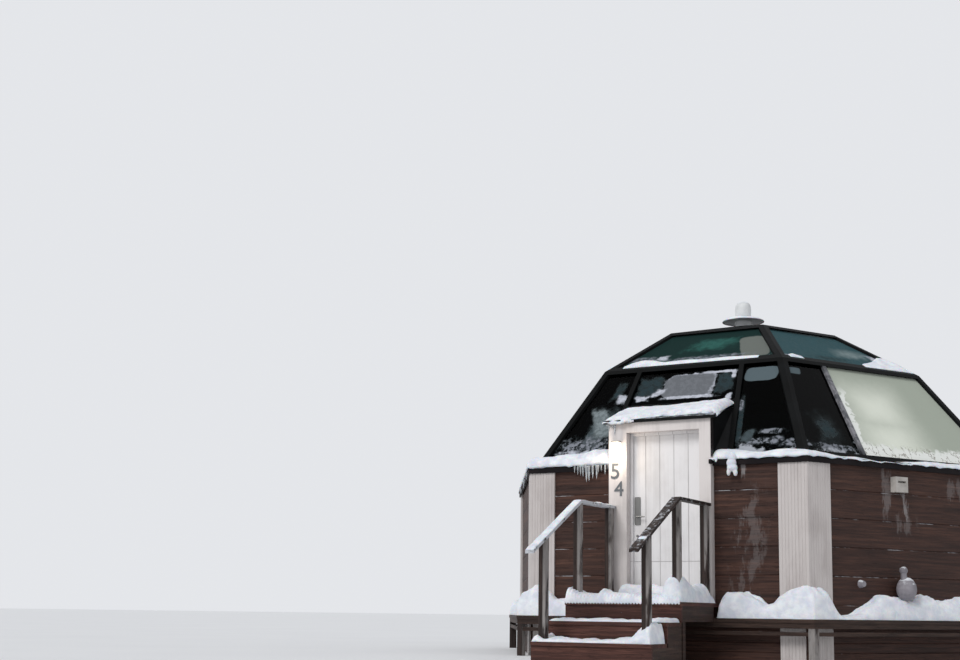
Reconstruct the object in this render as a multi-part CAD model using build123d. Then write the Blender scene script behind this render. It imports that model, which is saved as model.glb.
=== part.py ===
from build123d import *
import os
from math import copysign, cos, hypot, radians, sin, tan

os.makedirs("parts", exist_ok=True)

# A six-sided log cabin under a three-tier glass dome, with a raised door in a dormer and a
# timber porch. The ground is z = 0, the Z axis runs through the middle of the hexagon and the
# door wall faces -Y. Lengths are millimetres. An apothem is the distance from the Z axis to the
# middle of a side, square to it.

# Plan of the walls
wall_side = 3870         # one side, along the outer faces of the corner boards
log_thickness = 200
board_thickness = 28     # the pale boards nailed over the log corners
board_width = 378
board_groove = 4         # fine upright grooves in the corner boards
board_groove_pitch = 42

# Levels of the walls
riser = 241              # each step, the last one up to the porch
steps_below_porch = 3
door_step = 154          # from the porch up to the foot of the door leaf
ledge_top = 538
ledge_thickness = 48
ledge_reach = 170        # past the corner boards
wall_rise = 1977         # from the ledge to the top of the logs
log_height = 360
log_bevel = 9
plate_thickness = 48
fascia_height = 92
fascia_thickness = 22
floor_thickness = 45
floor_below_door = 20

# Base under the ledge
skirt_thickness = 100
skirt_board = 122
ledge_beam_height = 65
ledge_beam_width = 60
ledge_edge = 10
lower_rail_height = 48
lower_rail_width = 40
lower_rail_drop = 42
corner_post_face = 75
corner_post_depth = 95
base_board_setback = 62
centre_pier_width = 300
joist_width = 75
joist_pitch = 900
joist_bearing = 130

# Dome: the corners of each tier, on the outer face of the frame
foot_setback = 85        # of the dome's foot, behind the corners of the walls
ring_radius = 2610
crown_radius = 1405
lower_rise = 1460        # from the wall plate to the main ring
middle_rise = 705
upper_rise = 285

# Dome frame and glass
cap_thickness = 35       # the outer flanges, clamped over the panes
rib_flange = 70
rib_stem = 60
rib_depth = 150
mullion_cap = 66
mullion_stem = 40
mullion_depth = 120
foot_rail_height = 80
foot_rail_depth = 130
ring_below = 55
ring_above = 65
ring_depth = 150
crown_above = 8          # the crown ring's flat top, over its corner line
crown_depth = 190
crown_cap_thickness = 14
crown_rib_depth = 110
crown_panel_thickness = 16
glass_thickness = 24
glass_edge_gap = 4
hub_radius = 165
hub_depth = 120
front_mullion_top = 743  # from the door wall's middle line, at the main ring
front_mullion_foot = 900
side_mullion_share = 0.28

# Vent on the crown
round_sides = 48         # of the vent and the air intake, which are round
collar_radius = 132
collar_top_radius = 95
collar_height = 125
hat_radius = 320
hat_fall = 82            # from the middle of the hat to its rim
hat_thickness = 14
vent_cap_radius = 120
vent_cap_height = 260
vent_cap_roundness = 0.4
vent_neck_radius = 70
vent_neck_height = 14

# Door, its casing and the dormer over it
casing_left_board = 255
door_opening_width = 1010
casing_right_board = 155
casing_reach = 85        # past the corner boards
leaf_height = 2040
leaf_thickness = 60
leaf_gap = 8             # clear of the frame all round
leaf_setback = 43        # behind the outer face of the logs
frame_thickness = 25
frame_stop = 12
plank_pitch = 198
plank_groove = 5
groove_overcut = 1       # past the faces that a groove runs out of
kick_height = 380
hinge_radius = 9
hinge_height = 110       # both knuckles
hinge_plate = 3
hinge_pitch = 760
threshold_thickness = 40
dormer_roof_thickness = 40
dormer_roof_front = 41   # past the front of the casing
dormer_roof_side = 60
dormer_front_rise = 166  # from the doorway to the roof's front edge
dormer_roof_rise = 258   # from front to back
cheek_thickness = 40
dormer_post_width = 90
dormer_post_depth = 100
transom_below = 62
transom_above = 60

# Door handle set
lock_plate_width = 46
lock_plate_height = 369
lock_plate_thickness = 9
lock_plate_level = 861   # foot of the plate above the foot of the leaf
lock_edge = 34
lever_level = 966
lever_length = 120
lever_reach = 48
lever_radius = 9
cylinder_radius = 17
cylinder_level = 716

# Porch
porch_overhang = 52      # past each side of the door casing
porch_reach = 1262       # past the corner boards
tread_depth = 457
tread_thickness = 45
tread_nosing = 20
riser_board = 35
stringer_width = 45
deck_plank = 126
deck_groove = 6
porch_leg = 90

# Handrails
post_side = 90
post_inset = 105         # middle of a post, from the side of the porch
front_post_setback = 134
wall_post_setback = 56
low_post_setback = 114   # behind the front of the lowest tread
rail_width = 112
rail_thickness = 36
rail_rise = 1225         # from the porch to the underside of the level rail
rail_overrun = 370       # of the sloping rail past the low post

# Fittings
lamp_width = 118
lamp_height = 205
lamp_reach = 92
lamp_drop = 310          # foot of the lamp below the top of the doorway
exhaust_along = 1568     # middle, from the left corner of the right front wall
exhaust_width = 214
exhaust_height = 198
exhaust_reach = 96
exhaust_level = 2171
exhaust_slot = 26
tap_along = 885
tap_level = 985
tap_radius = 52
tap_reach = 60
bulb_along = 1560        # the round air intake, low on the wall
bulb_foot = 775
bulb_radius = 128
bulb_height = 310
bulb_pipe_radius = 36
neck_shift = 45          # of the upright neck, towards the left corner
neck_radius = 38
neck_height = 390        # from the foot of the bulb to the middle of the knob
knob_radius = 52

# Clearances
seat_gap = 0.3           # between pieces that seat on each other
mitre_gap = 0.5          # from each mitre plane to the end of a piece

# Worked-out places
COS30 = cos(radians(30))
SIN30 = sin(radians(30))
TAN30 = tan(radians(30))
board_face = wall_side * COS30
log_face = board_face - board_thickness
log_inside = log_face - log_thickness
porch_top = steps_below_porch * riser
leaf_foot = porch_top + door_step
leaf_top = leaf_foot + leaf_height
floor_top = leaf_foot - floor_below_door
ledge_under = ledge_top - ledge_thickness
ledge_face = board_face + ledge_reach
wall_top = ledge_top + wall_rise
plate_top = wall_top + plate_thickness
ring_level = plate_top + lower_rise
crown_level = ring_level + middle_rise
apex_level = crown_level + upper_rise
fascia_foot = plate_top - fascia_height
casing_face = board_face + casing_reach
casing_half_width = (casing_left_board + door_opening_width + casing_right_board) / 2
opening_left = casing_left_board - casing_half_width
opening_right = opening_left + door_opening_width
opening_top = leaf_top + leaf_gap + frame_thickness
dormer_front_level = opening_top + dormer_front_rise
dormer_back_level = dormer_front_level + dormer_roof_rise
porch_half_width = casing_half_width + porch_overhang
post_offset = porch_half_width - post_inset
porch_front = board_face + porch_reach
stair_front = porch_front + (steps_below_porch - 1) * tread_depth
far = 2 * wall_side

# Each tier runs from a lower (apothem, level) to an upper one.
foot_radius = wall_side - foot_setback
lower_tier = (foot_radius * COS30, plate_top, ring_radius * COS30, ring_level)
middle_tier = (ring_radius * COS30, ring_level, crown_radius * COS30, crown_level)
upper_tier = (crown_radius * COS30, crown_level, 0, apex_level)


def block(x0, x1, y0, y1, z0, z1):
    """A box between two corners."""
    size = Box(x1 - x0, y1 - y0, z1 - z0)
    return Pos((x0 + x1) / 2, (y0 + y1) / 2, (z0 + z1) / 2) * size


def outline(points):
    """A flat face inside a closed line of points."""
    return make_face(Polyline(*points, close=True))


def profile_along_x(section, x0, x1):
    """A section of (distance in front of the Z axis, height) points, drawn out along X."""
    face = outline([(x0, -reach, z) for reach, z in section])
    return extrude(face, amount=x1 - x0, dir=(1, 0, 0))


def profile_along_z(plan, z0, z1):
    """A plan of (x, y) points, drawn up from z0 to z1."""
    return extrude(outline([(x, y, z0) for x, y in plan]), amount=z1 - z0, dir=(0, 0, 1))


def solids(shape):
    """The separate solids in a shape or in a list of shapes."""
    if isinstance(shape, (list, tuple)):
        return [one for item in shape for one in solids(item)]
    return list(shape.solids())


def write(name, shape):
    """Writes one node, with like pieces as separate solids."""
    found = solids(shape)
    export_step(found[0] if len(found) == 1 else Compound(children=found), f"parts/{name}.step")


def wedge(inset):
    """The space in front of the Z axis between the two mitre planes of a side, less an inset."""
    half = far * TAN30 - inset / COS30
    return profile_along_z([(0, -inset / SIN30), (half, -far), (-half, -far)], -far, far)


def side_bar(section, inset=mitre_gap):
    """One side of a hexagonal ring, from a section of (apothem, height) points."""
    return profile_along_x(section, -far / 2, far / 2) & wedge(inset)


def band(outer, inner, z0, z1):
    """A rectangular section between two apothems and two levels."""
    return [(outer, z0), (outer, z1), (inner, z1), (inner, z0)]


def around(shape, sides=range(6)):
    """Copies of a piece on the door side, turned on to the given sides, counted anticlockwise."""
    return [Rot(0, 0, 60 * side) * shape for side in sides]


def apothem_at(tier, level):
    """Distance of a tier's outer face from the Z axis at a level."""
    a0, z0, a1, z1 = tier
    return a0 + (a1 - a0) * (level - z0) / (z1 - z0)


def slope_length(tier):
    a0, z0, a1, z1 = tier
    return hypot(a0 - a1, z1 - z0)


def tier_section(tier, z0, z1, depth0, depth1):
    """A layer of a tier between two levels and two depths under its outer face."""
    inward = slope_length(tier) / (tier[3] - tier[1])
    near, deep = depth0 * inward, depth1 * inward
    a0, a1 = apothem_at(tier, z0), apothem_at(tier, z1)
    return [(a0 - near, z0), (a1 - near, z1), (a1 - deep, z1), (a0 - deep, z0)]


def between(z0, z1):
    """All the space between two levels."""
    return block(-far, far, -far, far, z0, z1)


def standing(form, z0, *sizes):
    """A cylinder or cone that stands on a level, on the Z axis."""
    return Pos(0, 0, z0) * form(*sizes, align=(Align.CENTER, Align.CENTER, Align.MIN))


def spun(section):
    """A section of (distance from the Z axis, height) points, with both its ends on that axis, turned
    round it in narrow flat sides."""
    faces = []
    for n in range(round_sides):
        turns = radians(360 * n / round_sides), radians(360 * (n + 1) / round_sides)
        for (reach0, z0), (reach1, z1) in zip(section, section[1:]):
            corners = [(reach * cos(turn), reach * sin(turn), z)
                       for reach, z, turn in ((reach0, z0, turns[0]), (reach0, z0, turns[1]),
                                              (reach1, z1, turns[1]), (reach1, z1, turns[0]))]
            if reach0 == 0:
                corners = corners[1:]
            if reach1 == 0:
                corners = corners[:-1]
            faces.append(outline(corners))
    return Solid(Shell(faces))


def barrel(radius, height, roundness, bands=8):
    """A round-ended body in straight bands: an ellipsoid at a roundness of 1, boxier under it."""
    section = [(0, 0)]
    for n in range(1, bands):
        turn = radians(180 * n / bands)
        rise = copysign(abs(cos(turn)) ** roundness, cos(turn))
        section.append((radius * sin(turn) ** roundness, height / 2 * (1 - rise)))
    return spun(section + [(0, height)])


# Log walls


def log_section():
    """A stack of square logs with a bevelled joint on both faces at each course."""
    joints = []
    level = wall_top - log_height
    while level > ledge_top + 2 * log_bevel:
        joints.append(level)
        level -= log_height
    outer, inner = [(log_face, wall_top)], [(log_inside, wall_top)]
    for level in joints:
        for face, points, sign in ((log_face, outer, -1), (log_inside, inner, 1)):
            points.append((face, level + log_bevel))
            points.append((face + sign * log_bevel, level))
            points.append((face, level - log_bevel))
    outer.append((log_face, ledge_top))
    inner.append((log_inside, ledge_top))
    return outer + inner[::-1]


log_wall = side_bar(log_section())
write("right_front_wall", around(log_wall, [1]))
write("back_walls", around(log_wall, [2, 3, 4]))
write("left_front_wall", around(log_wall, [5]))

# The door wall is split beside and under the doorway.
wall_left_end = opening_left - seat_gap
wall_right_end = opening_right + seat_gap
threshold_under = leaf_foot - leaf_gap - threshold_thickness
write("front_wall_left", log_wall & block(-far, wall_left_end, -far, 0, 0, far))
write("front_wall_right", log_wall & block(wall_right_end, far, -far, 0, 0, far))
write("front_wall_sill", log_wall & block(wall_left_end + seat_gap, wall_right_end - seat_gap,
                                          -far, 0, 0, threshold_under))

# Corner boards, one on each side of every corner, with fine upright grooves


def corner_board(length, z0, z1, setback=0):
    """A grooved board on the door wall that starts at the right-hand corner."""
    corner = wall_side / 2
    outer = [(corner - setback, -board_face)]
    x = corner - setback - board_groove_pitch
    while x > corner - length + board_groove_pitch / 2:
        outer += [(x + board_groove, -board_face), (x, -board_face + board_groove),
                  (x - board_groove, -board_face)]
        x -= board_groove_pitch
    outer += [(corner - length, -board_face), (corner - length, -log_face - seat_gap),
              (corner - setback, -log_face - seat_gap)]
    return profile_along_z(outer, z0, z1) & wedge(mitre_gap)


def both_hands(piece):
    """A piece at the right-hand end of every side, and its mirror image at the left."""
    return around(piece) + around(mirror(piece, about=Plane.YZ))


wall_board = corner_board(board_width, ledge_top + seat_gap, wall_top)
base_board = corner_board(board_width, 0, ledge_under - seat_gap, base_board_setback)
write("corner_boards", both_hands(wall_board) + both_hands(base_board))

# Base: skirt boards, white corner boards low down, and the ledge on beams, rails and posts


def skirt_section():
    """Horizontal boards with a bevelled joint on the outer face."""
    section = [(log_face, ledge_under)]
    level = ledge_under - skirt_board
    while level > 2 * log_bevel:
        section += [(log_face, level + log_bevel), (log_face - log_bevel, level),
                    (log_face, level - log_bevel)]
        level -= skirt_board
    return section + [(log_face, 0), (log_face - skirt_thickness, 0),
                      (log_face - skirt_thickness, ledge_under)]


write("base_skirt", around(side_bar(skirt_section())))
ledge_inside = log_inside - joist_bearing
write("base_ledge", around(side_bar(band(ledge_face, ledge_inside, ledge_under, ledge_top))))
beam_face = ledge_face - ledge_edge
beam_under = ledge_under - ledge_beam_height
ledge_beam = side_bar(band(beam_face, beam_face - ledge_beam_width, beam_under, ledge_under))


def corner_post():
    """An upright that fills the 120 degree corner under the ledge beams, on the right of the door."""
    corner = beam_face / COS30 / 2
    left = [(corner, -beam_face), (corner - corner_post_face, -beam_face),
            (corner - corner_post_face, -beam_face + corner_post_depth)]
    half = profile_along_z(left + [(corner - corner_post_depth * TAN30, -beam_face + corner_post_depth)],
                           0, beam_under)
    other = Rot(0, 0, 60) * mirror(half, about=Plane.YZ)
    return (half + other).clean()


half_pier = centre_pier_width / 2
centre_pier = block(-half_pier, half_pier, -half_pier, half_pier, 0, ledge_top)
write("base_posts", around(corner_post()) + [centre_pier])
rail_top = beam_under - lower_rail_drop
lower_rail = profile_along_x(band(beam_face - ledge_edge, beam_face - ledge_edge - lower_rail_width,
                                  rail_top - lower_rail_height, rail_top),
                             -beam_face * TAN30 + corner_post_face + seat_gap,
                             beam_face * TAN30 - corner_post_face - seat_gap)
write("ledge_beams", around(ledge_beam) + around(lower_rail))

# Floor


def hexagon(apothem):
    corner = apothem / COS30
    return [(corner * cos(radians(60 * k)), corner * sin(radians(60 * k))) for k in range(6)]


floor_plan = hexagon(log_inside - seat_gap)
write("floor_deck", profile_along_z(floor_plan, floor_top - floor_thickness, floor_top))
joist_space = profile_along_z(floor_plan, ledge_top, floor_top - floor_thickness)
joist_count = int((log_inside / COS30 - ledge_reach) / joist_pitch)
joists = [block(n * joist_pitch - joist_width / 2, n * joist_pitch + joist_width / 2, -far, far,
                ledge_top, floor_top - floor_thickness) & joist_space
          for n in range(-joist_count, joist_count + 1)]
write("floor_joists", joists)

# Eave: a wall plate and a fascia, both open where the door casing comes up through them
casing_gap = block(-casing_half_width - seat_gap, casing_half_width + seat_gap, -far, 0,
                   wall_top - log_height, far)
wall_plate = side_bar(band(board_face, log_inside, wall_top, plate_top))
write("wall_plate", [wall_plate - casing_gap] + around(wall_plate, range(1, 6)))
fascia = side_bar(band(board_face + fascia_thickness, board_face, fascia_foot, plate_top))
write("eave_fascia", [fascia - casing_gap] + around(fascia, range(1, 6)))

# Dome frame: rings with flat tops and bottoms, and the ribs that stand between them


def rib(tier, z0, z1, cap=cap_thickness, depth=rib_depth):
    """A corner rib: two flanges that follow the panes, on a stem, built over the -Y axis."""
    radius0, radius1 = tier[0] / COS30, tier[2] / COS30
    along = Vector(0, radius0 - radius1, tier[3] - tier[1]).normalized()
    outward = Vector(0, -along.Z, along.Y)
    fall = TAN30 * along.Z
    under = cap * hypot(1, fall)
    right = [(rib_flange, -rib_flange * fall), (rib_flange, -rib_flange * fall - under),
             (rib_stem / 2, -rib_stem / 2 * fall - under), (rib_stem / 2, -depth)]
    left = [(-t, m) for t, m in reversed(right)]
    start = Vector(0, -radius0, tier[1]) - along * rib_depth * 3
    corners = [start + Vector(t, 0, 0) + outward * m for t, m in [(0, 0)] + right + left]
    bar = extrude(outline(corners), amount=slope_length(tier) * 1.5 + 6 * rib_depth, dir=along)
    return Rot(0, 0, 30) * (bar & block(-far, far, -far, 0, z0, z1))


foot_rail_top = plate_top + foot_rail_height
foot_rail = side_bar(tier_section(lower_tier, plate_top, foot_rail_top, 0, foot_rail_depth))
write("foot_rail", [foot_rail - casing_gap] + around(foot_rail, range(1, 6)))


def ring_section(lower, upper, above, depth):
    """A ring beam's section: it follows both tiers outside and is square inside."""
    middle, level = upper[0], upper[1]
    top = (apothem_at(upper, level + above), level + above)
    foot = (apothem_at(lower, level - ring_below), level - ring_below)
    return [foot, (middle, level), top, (middle - depth, top[1]), (middle - depth, foot[1])]


main_ring = side_bar(ring_section(lower_tier, middle_tier, ring_above, ring_depth))
crown_ring = side_bar(ring_section(middle_tier, upper_tier, crown_above, crown_depth))
write("lower_ribs", around(rib(lower_tier, foot_rail_top, ring_level - ring_below)))
write("dome_rings", around(main_ring) + around(crown_ring))
middle_rib = rib(middle_tier, ring_level + ring_above, crown_level - ring_below)

# The crown's low pyramid: a hub, six short ribs and six panels
hub_top = apex_level - hub_radius * (apex_level - crown_level) / upper_tier[0]
write("crown_hub", standing(Cylinder, hub_top - hub_depth, hub_radius, hub_depth))
hub_space = standing(Cylinder, 0, hub_radius + seat_gap, far)
crown_rib = rib(upper_tier, crown_level + crown_above, apex_level, crown_cap_thickness, crown_rib_depth)
crown_rib = crown_rib - hub_space
write("upper_ribs", around(middle_rib) + around(crown_rib))


# Mullions of the lower tier


def on_tier(tier, x, level):
    return Vector(x, -apothem_at(tier, level), level)


def tier_bar(tier, foot, top, width, depth0, depth1):
    """A straight bar in a tier's plane on the door side, past both of its end points."""
    along = (top - foot).normalized()
    a0, z0, a1, z1 = tier
    outward = Vector(0, -(z1 - z0), a0 - a1).normalized()
    across = outward.cross(along)
    start = foot - along * far / 8
    section = [(-width / 2, depth0), (width / 2, depth0), (width / 2, depth1), (-width / 2, depth1)]
    corners = [start + across * w - outward * d for w, d in section]
    return extrude(outline(corners), amount=(top - foot).length + far / 4, dir=along)


def mullion(foot, top, z0, z1):
    """A flat cap on a narrower stem."""
    cap = tier_bar(lower_tier, foot, top, mullion_cap, 0, cap_thickness)
    stem = tier_bar(lower_tier, foot, top, mullion_stem, cap_thickness, mullion_depth)
    return (cap + stem).clean() & between(z0, z1)


def mullion_slot(foot, top):
    """What a mullion's stem and the gaps beside it take out of the panes."""
    return tier_bar(lower_tier, foot, top, mullion_stem + 2 * glass_edge_gap, -far / 10, far / 10)


pane_foot, pane_top = foot_rail_top, ring_level - ring_below
front_lines = [(on_tier(lower_tier, hand * front_mullion_foot, plate_top),
                on_tier(lower_tier, hand * front_mullion_top, ring_level)) for hand in (-1, 1)]
front_mullions = [mullion(foot, top, pane_foot, pane_top) for foot, top in front_lines]
side_line = (on_tier(lower_tier, (side_mullion_share - 0.5) * foot_radius, plate_top),
             on_tier(lower_tier, (side_mullion_share - 0.5) * ring_radius, ring_level))
side_mullions = around(mullion(*side_line, pane_foot, pane_top), range(1, 6))


# Glass


def pane(tier, z0, z1):
    """A whole side of a tier in glass, clamped under the flanges."""
    section = tier_section(tier, z0 + seat_gap, z1 - seat_gap, cap_thickness + seat_gap,
                           cap_thickness + seat_gap + glass_thickness)
    return side_bar(section, rib_stem / 2 + glass_edge_gap)


lower_pane = pane(lower_tier, pane_foot, pane_top)
side_panes = lower_pane - mullion_slot(*side_line)
write("side_glass", around(side_panes, range(1, 6)))
write("middle_glass", around(pane(middle_tier, ring_level + ring_above, crown_level - ring_below)))
crown_foot = crown_level + crown_above + seat_gap
crown_section = tier_section(upper_tier, crown_foot, apex_level, crown_cap_thickness + seat_gap,
                             crown_cap_thickness + seat_gap + crown_panel_thickness)
crown_panel = side_bar(crown_section, rib_stem / 2 + glass_edge_gap) - hub_space
write("crown_panels", around(crown_panel))

# The door wall's glass: a pane beside each mullion, and one over the dormer
transom_foot, transom_top = dormer_back_level - transom_below, dormer_back_level + transom_above
front_cuts = lower_pane - mullion_slot(*front_lines[0]) - mullion_slot(*front_lines[1])
by_place = sorted(solids(front_cuts), key=lambda piece: piece.center().X)
write("front_glass", [by_place[0], by_place[-1], by_place[1] & between(transom_top + seat_gap, far)])
transom = side_bar(tier_section(lower_tier, transom_foot, transom_top, 0, mullion_depth))
for foot, top in front_lines:
    transom = transom - tier_bar(lower_tier, foot, top, mullion_stem + 2 * seat_gap,
                                 cap_thickness - seat_gap, far / 10)
    transom = transom - tier_bar(lower_tier, foot, top, mullion_cap + 2 * seat_gap,
                                 -far / 10, cap_thickness + seat_gap)
dormer_transom = sorted(solids(transom), key=lambda piece: abs(piece.center().X))[0]
write("lower_mullions", front_mullions + side_mullions + [dormer_transom])

# Dormer: roof, cheeks, and the framing beside and over the doorway

roof_front = casing_face + dormer_roof_front
roof_back = apothem_at(lower_tier, dormer_back_level)
roof_pitch = (dormer_back_level - dormer_front_level) / (roof_front - roof_back)
roof_drop = dormer_roof_thickness * hypot(1, roof_pitch)


def roof_under(reach):
    """Level of the underside of the dormer roof at a distance in front of the Z axis."""
    return dormer_front_level + roof_pitch * (roof_front - reach) - roof_drop


roof_half = casing_half_width + dormer_roof_side
roof_section = [(roof_front, roof_under(roof_front)), (roof_front, dormer_front_level),
                (roof_back - ring_depth, roof_under(roof_back - ring_depth) + roof_drop),
                (roof_back - ring_depth, roof_under(roof_back - ring_depth))]
dome_body = side_bar(tier_section(lower_tier, plate_top, ring_level, -seat_gap, ring_radius / 2))
write("dormer_roof", profile_along_x(roof_section, -roof_half, roof_half) - dome_body)


def mullion_x(level):
    share = (level - plate_top) / (ring_level - plate_top)
    return front_mullion_foot + (front_mullion_top - front_mullion_foot) * share


def cheek():
    """The right-hand side of the dormer, from the casing back to the mullion, in two flat parts."""
    lean = (front_mullion_foot - front_mullion_top) / slope_length(lower_tier)
    skin = cap_thickness / 2
    beside = mullion_cap / 2 * hypot(1, lean) + skin * lean + seat_gap
    low, high = foot_rail_top + seat_gap, transom_foot - seat_gap
    front = board_face - cheek_thickness
    back_low = (mullion_x(low) - beside, -apothem_at(lower_tier, low) + skin, low)
    back_high = (mullion_x(high) - beside, -apothem_at(lower_tier, high) + skin, high)
    front_low = (casing_half_width, -front, low)
    front_high = (casing_half_width, -front, roof_under(front) - seat_gap)
    halves = [outline([front_low, back_low, back_high]), outline([front_low, back_high, front_high])]
    parts = [extrude(half, amount=cheek_thickness, dir=(-1, 0, 0)) for half in halves]
    roof_space = profile_along_x([(far, roof_under(far)), (far, far), (0, far), (0, roof_under(0))],
                                 -far, far)
    return (parts[0] + parts[1]) - Pos(0, 0, -seat_gap) * roof_space


right_cheek = cheek()
write("dormer_cheeks", [right_cheek, mirror(right_cheek, about=Plane.YZ)])

stud_front, stud_back = log_face, log_face - dormer_post_depth
header_foot = opening_top + seat_gap
post_spans = [(wall_left_end - dormer_post_width, wall_left_end),
              (wall_right_end, wall_right_end + dormer_post_width)]
dormer_posts = [block(x0, x1, -stud_front, -stud_back, wall_top, header_foot - seat_gap)
                for x0, x1 in post_spans]
dormer_header = block(post_spans[0][0], post_spans[1][1], -stud_front, -stud_back, header_foot,
                      roof_under(stud_front) - seat_gap)
write("dormer_frame", dormer_posts + [dormer_header])

# Door casing, frame and threshold
casing_back = log_face + seat_gap
casing_top = roof_under(casing_face) - seat_gap
casing_foot = porch_top + seat_gap
casing_spans = [(-casing_half_width, opening_left, casing_foot),
                (opening_right, casing_half_width, casing_foot),
                (opening_left + seat_gap, opening_right - seat_gap, opening_top)]
write("door_casing", [block(x0, x1, -casing_face, -casing_back, foot, casing_top)
                      for x0, x1, foot in casing_spans])

leaf_face = log_face - leaf_setback
leaf_back = leaf_face - leaf_thickness
frame_back = leaf_back
stop_back = leaf_face + leaf_gap
leaf_left = opening_left + frame_thickness + leaf_gap
leaf_right = opening_right - frame_thickness - leaf_gap
lining_left, lining_right = opening_left + seat_gap, opening_right - seat_gap
inner_left, inner_right = opening_left + frame_thickness, opening_right - frame_thickness
jamb_foot = leaf_foot - leaf_gap
jamb_top = opening_top - frame_thickness


def jamb(outer, inner, stop):
    """One upright of the door frame, with a stop outside the leaf."""
    plan = [(outer, -log_face), (inner + stop, -log_face), (inner + stop, -stop_back),
            (inner, -stop_back), (inner, -frame_back), (outer, -frame_back)]
    return profile_along_z(plan, jamb_foot + seat_gap, jamb_top - seat_gap)


jambs = [jamb(lining_left, inner_left, frame_stop), jamb(lining_right, inner_right, -frame_stop)]
head_section = [(log_face, jamb_top - frame_stop), (log_face, opening_top - seat_gap),
                (frame_back, opening_top - seat_gap), (frame_back, jamb_top), (stop_back, jamb_top),
                (stop_back, jamb_top - frame_stop)]
head_bar = profile_along_x(head_section, lining_left, lining_right)
jamb_space = [block(x0, x1, -far, 0, 0, jamb_top) for x0, x1 in
              ((lining_left - seat_gap, inner_left + frame_stop + seat_gap),
               (inner_right - frame_stop - seat_gap, lining_right + seat_gap))]
frame_head = head_bar - jamb_space[0] - jamb_space[1]
write("threshold", block(lining_left, lining_right, -log_face, -frame_back,
                         threshold_under + seat_gap, jamb_foot))

# Door leaf with upright planks, a kick board line, hinges and a lever handle


def leaf():
    """A planked leaf: grooves on its outer face, one across it over the kick board."""
    body = block(leaf_left, leaf_right, -leaf_face, -leaf_back, leaf_foot, leaf_top)
    middle = (leaf_left + leaf_right) / 2
    proud = leaf_face + groove_overcut
    groove = [(0, -leaf_face + plank_groove), (plank_groove, -proud), (-plank_groove, -proud)]
    for n in (-1.5, -0.5, 0.5, 1.5):
        x = middle + n * plank_pitch
        body = body - profile_along_z([(x + dx, y) for dx, y in groove],
                                      leaf_foot - groove_overcut, leaf_top + groove_overcut)
    level = leaf_foot + kick_height
    line = [(leaf_face - plank_groove, level), (proud, level + plank_groove), (proud, level - plank_groove)]
    return body - profile_along_x(line, leaf_left - groove_overcut, leaf_right + groove_overcut)


write("door_leaf", leaf())
hinge_x, hinge_y = leaf_right + leaf_gap / 2, -(leaf_back - hinge_radius - seat_gap)
hinge_middle = (leaf_foot + leaf_top) / 2
knuckle_height = hinge_height / 2 - seat_gap


def knuckle(x_end, z0):
    """Half a hinge: a knuckle on the axis, and a plate along the wood from it to x_end."""
    barrel = Pos(hinge_x, hinge_y, 0) * standing(Cylinder, z0, hinge_radius, knuckle_height)
    back = -(leaf_back - seat_gap)
    x0, x1 = sorted((hinge_x, x_end))
    return barrel + block(x0, x1, back, back + hinge_plate, z0, z0 + knuckle_height)


hinge_levels = [hinge_middle + n * hinge_pitch for n in (-1, 0, 1)]
write("door_hinges", [knuckle(leaf_right - hinge_height / 2, level + seat_gap) for level in hinge_levels])
fixed_knuckles = [knuckle(lining_right, level - knuckle_height - seat_gap) for level in hinge_levels]
write("door_frame", jambs + [frame_head] + fixed_knuckles)

plate_x0 = leaf_left + lock_edge
lock_x = plate_x0 + lock_plate_width / 2
lock_reach = seat_gap + lock_plate_thickness
plate_z0 = leaf_foot + lock_plate_level
lever_z = leaf_foot + lever_level


def lock_pin(radius, level, length):
    """A round pin that starts a seat gap off the leaf's outer face, square to it."""
    pin = Cylinder(radius, length, align=(Align.CENTER, Align.CENTER, Align.MIN))
    return Pos(lock_x, -leaf_face - seat_gap, level) * Rot(90, 0, 0) * pin


def lock_set():
    """The outer plate with its lever, and the round cylinder under it."""
    plate = block(plate_x0, plate_x0 + lock_plate_width, -leaf_face - lock_reach, -leaf_face - seat_gap,
                  plate_z0, plate_z0 + lock_plate_height)
    arm = Cylinder(lever_radius, lever_length, align=(Align.CENTER, Align.CENTER, Align.MIN))
    arm = Pos(lock_x, -leaf_face - lock_reach - lever_reach, lever_z) * Rot(0, 90, 0) * arm
    spindle = lock_pin(lever_radius, lever_z, lock_plate_thickness + lever_reach + lever_radius)
    cylinder = lock_pin(cylinder_radius, leaf_foot + cylinder_level, lock_plate_thickness)
    return [plate + spindle + arm, cylinder]


leaf_middle = Plane.XZ.offset((leaf_face + leaf_back) / 2)
write("door_handle", lock_set() + [mirror(piece, about=leaf_middle) for piece in lock_set()])

# Porch: deck, treads, riser boards, stringers and legs
deck_under = porch_top - tread_thickness
deck_back = log_face + seat_gap


def deck():
    """The porch floor, with a groove between its planks."""
    body = block(-porch_half_width, porch_half_width, -porch_front - tread_nosing, -deck_back,
                 deck_under, porch_top)
    count = int(porch_half_width / deck_plank)
    for n in range(-count, count + 1):
        x = n * deck_plank
        body = body - block(x - deck_groove / 2, x + deck_groove / 2, -far, -casing_face - deck_plank,
                            porch_top - deck_groove, far)
    return body


write("porch_deck", deck())
treads, risers = [], []
for n in range(steps_below_porch):
    front = porch_front + n * tread_depth
    under = porch_top - n * riser - tread_thickness
    foot = max(under - riser + tread_thickness, 0) + seat_gap
    risers.append(block(-porch_half_width, porch_half_width, -front, -front + riser_board,
                        foot, under - seat_gap))
    if n:
        treads.append(block(-porch_half_width, porch_half_width, -front - tread_nosing,
                            -front + tread_depth - seat_gap, under, under + tread_thickness))
write("stair_treads", treads)
write("stair_risers", risers)


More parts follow.
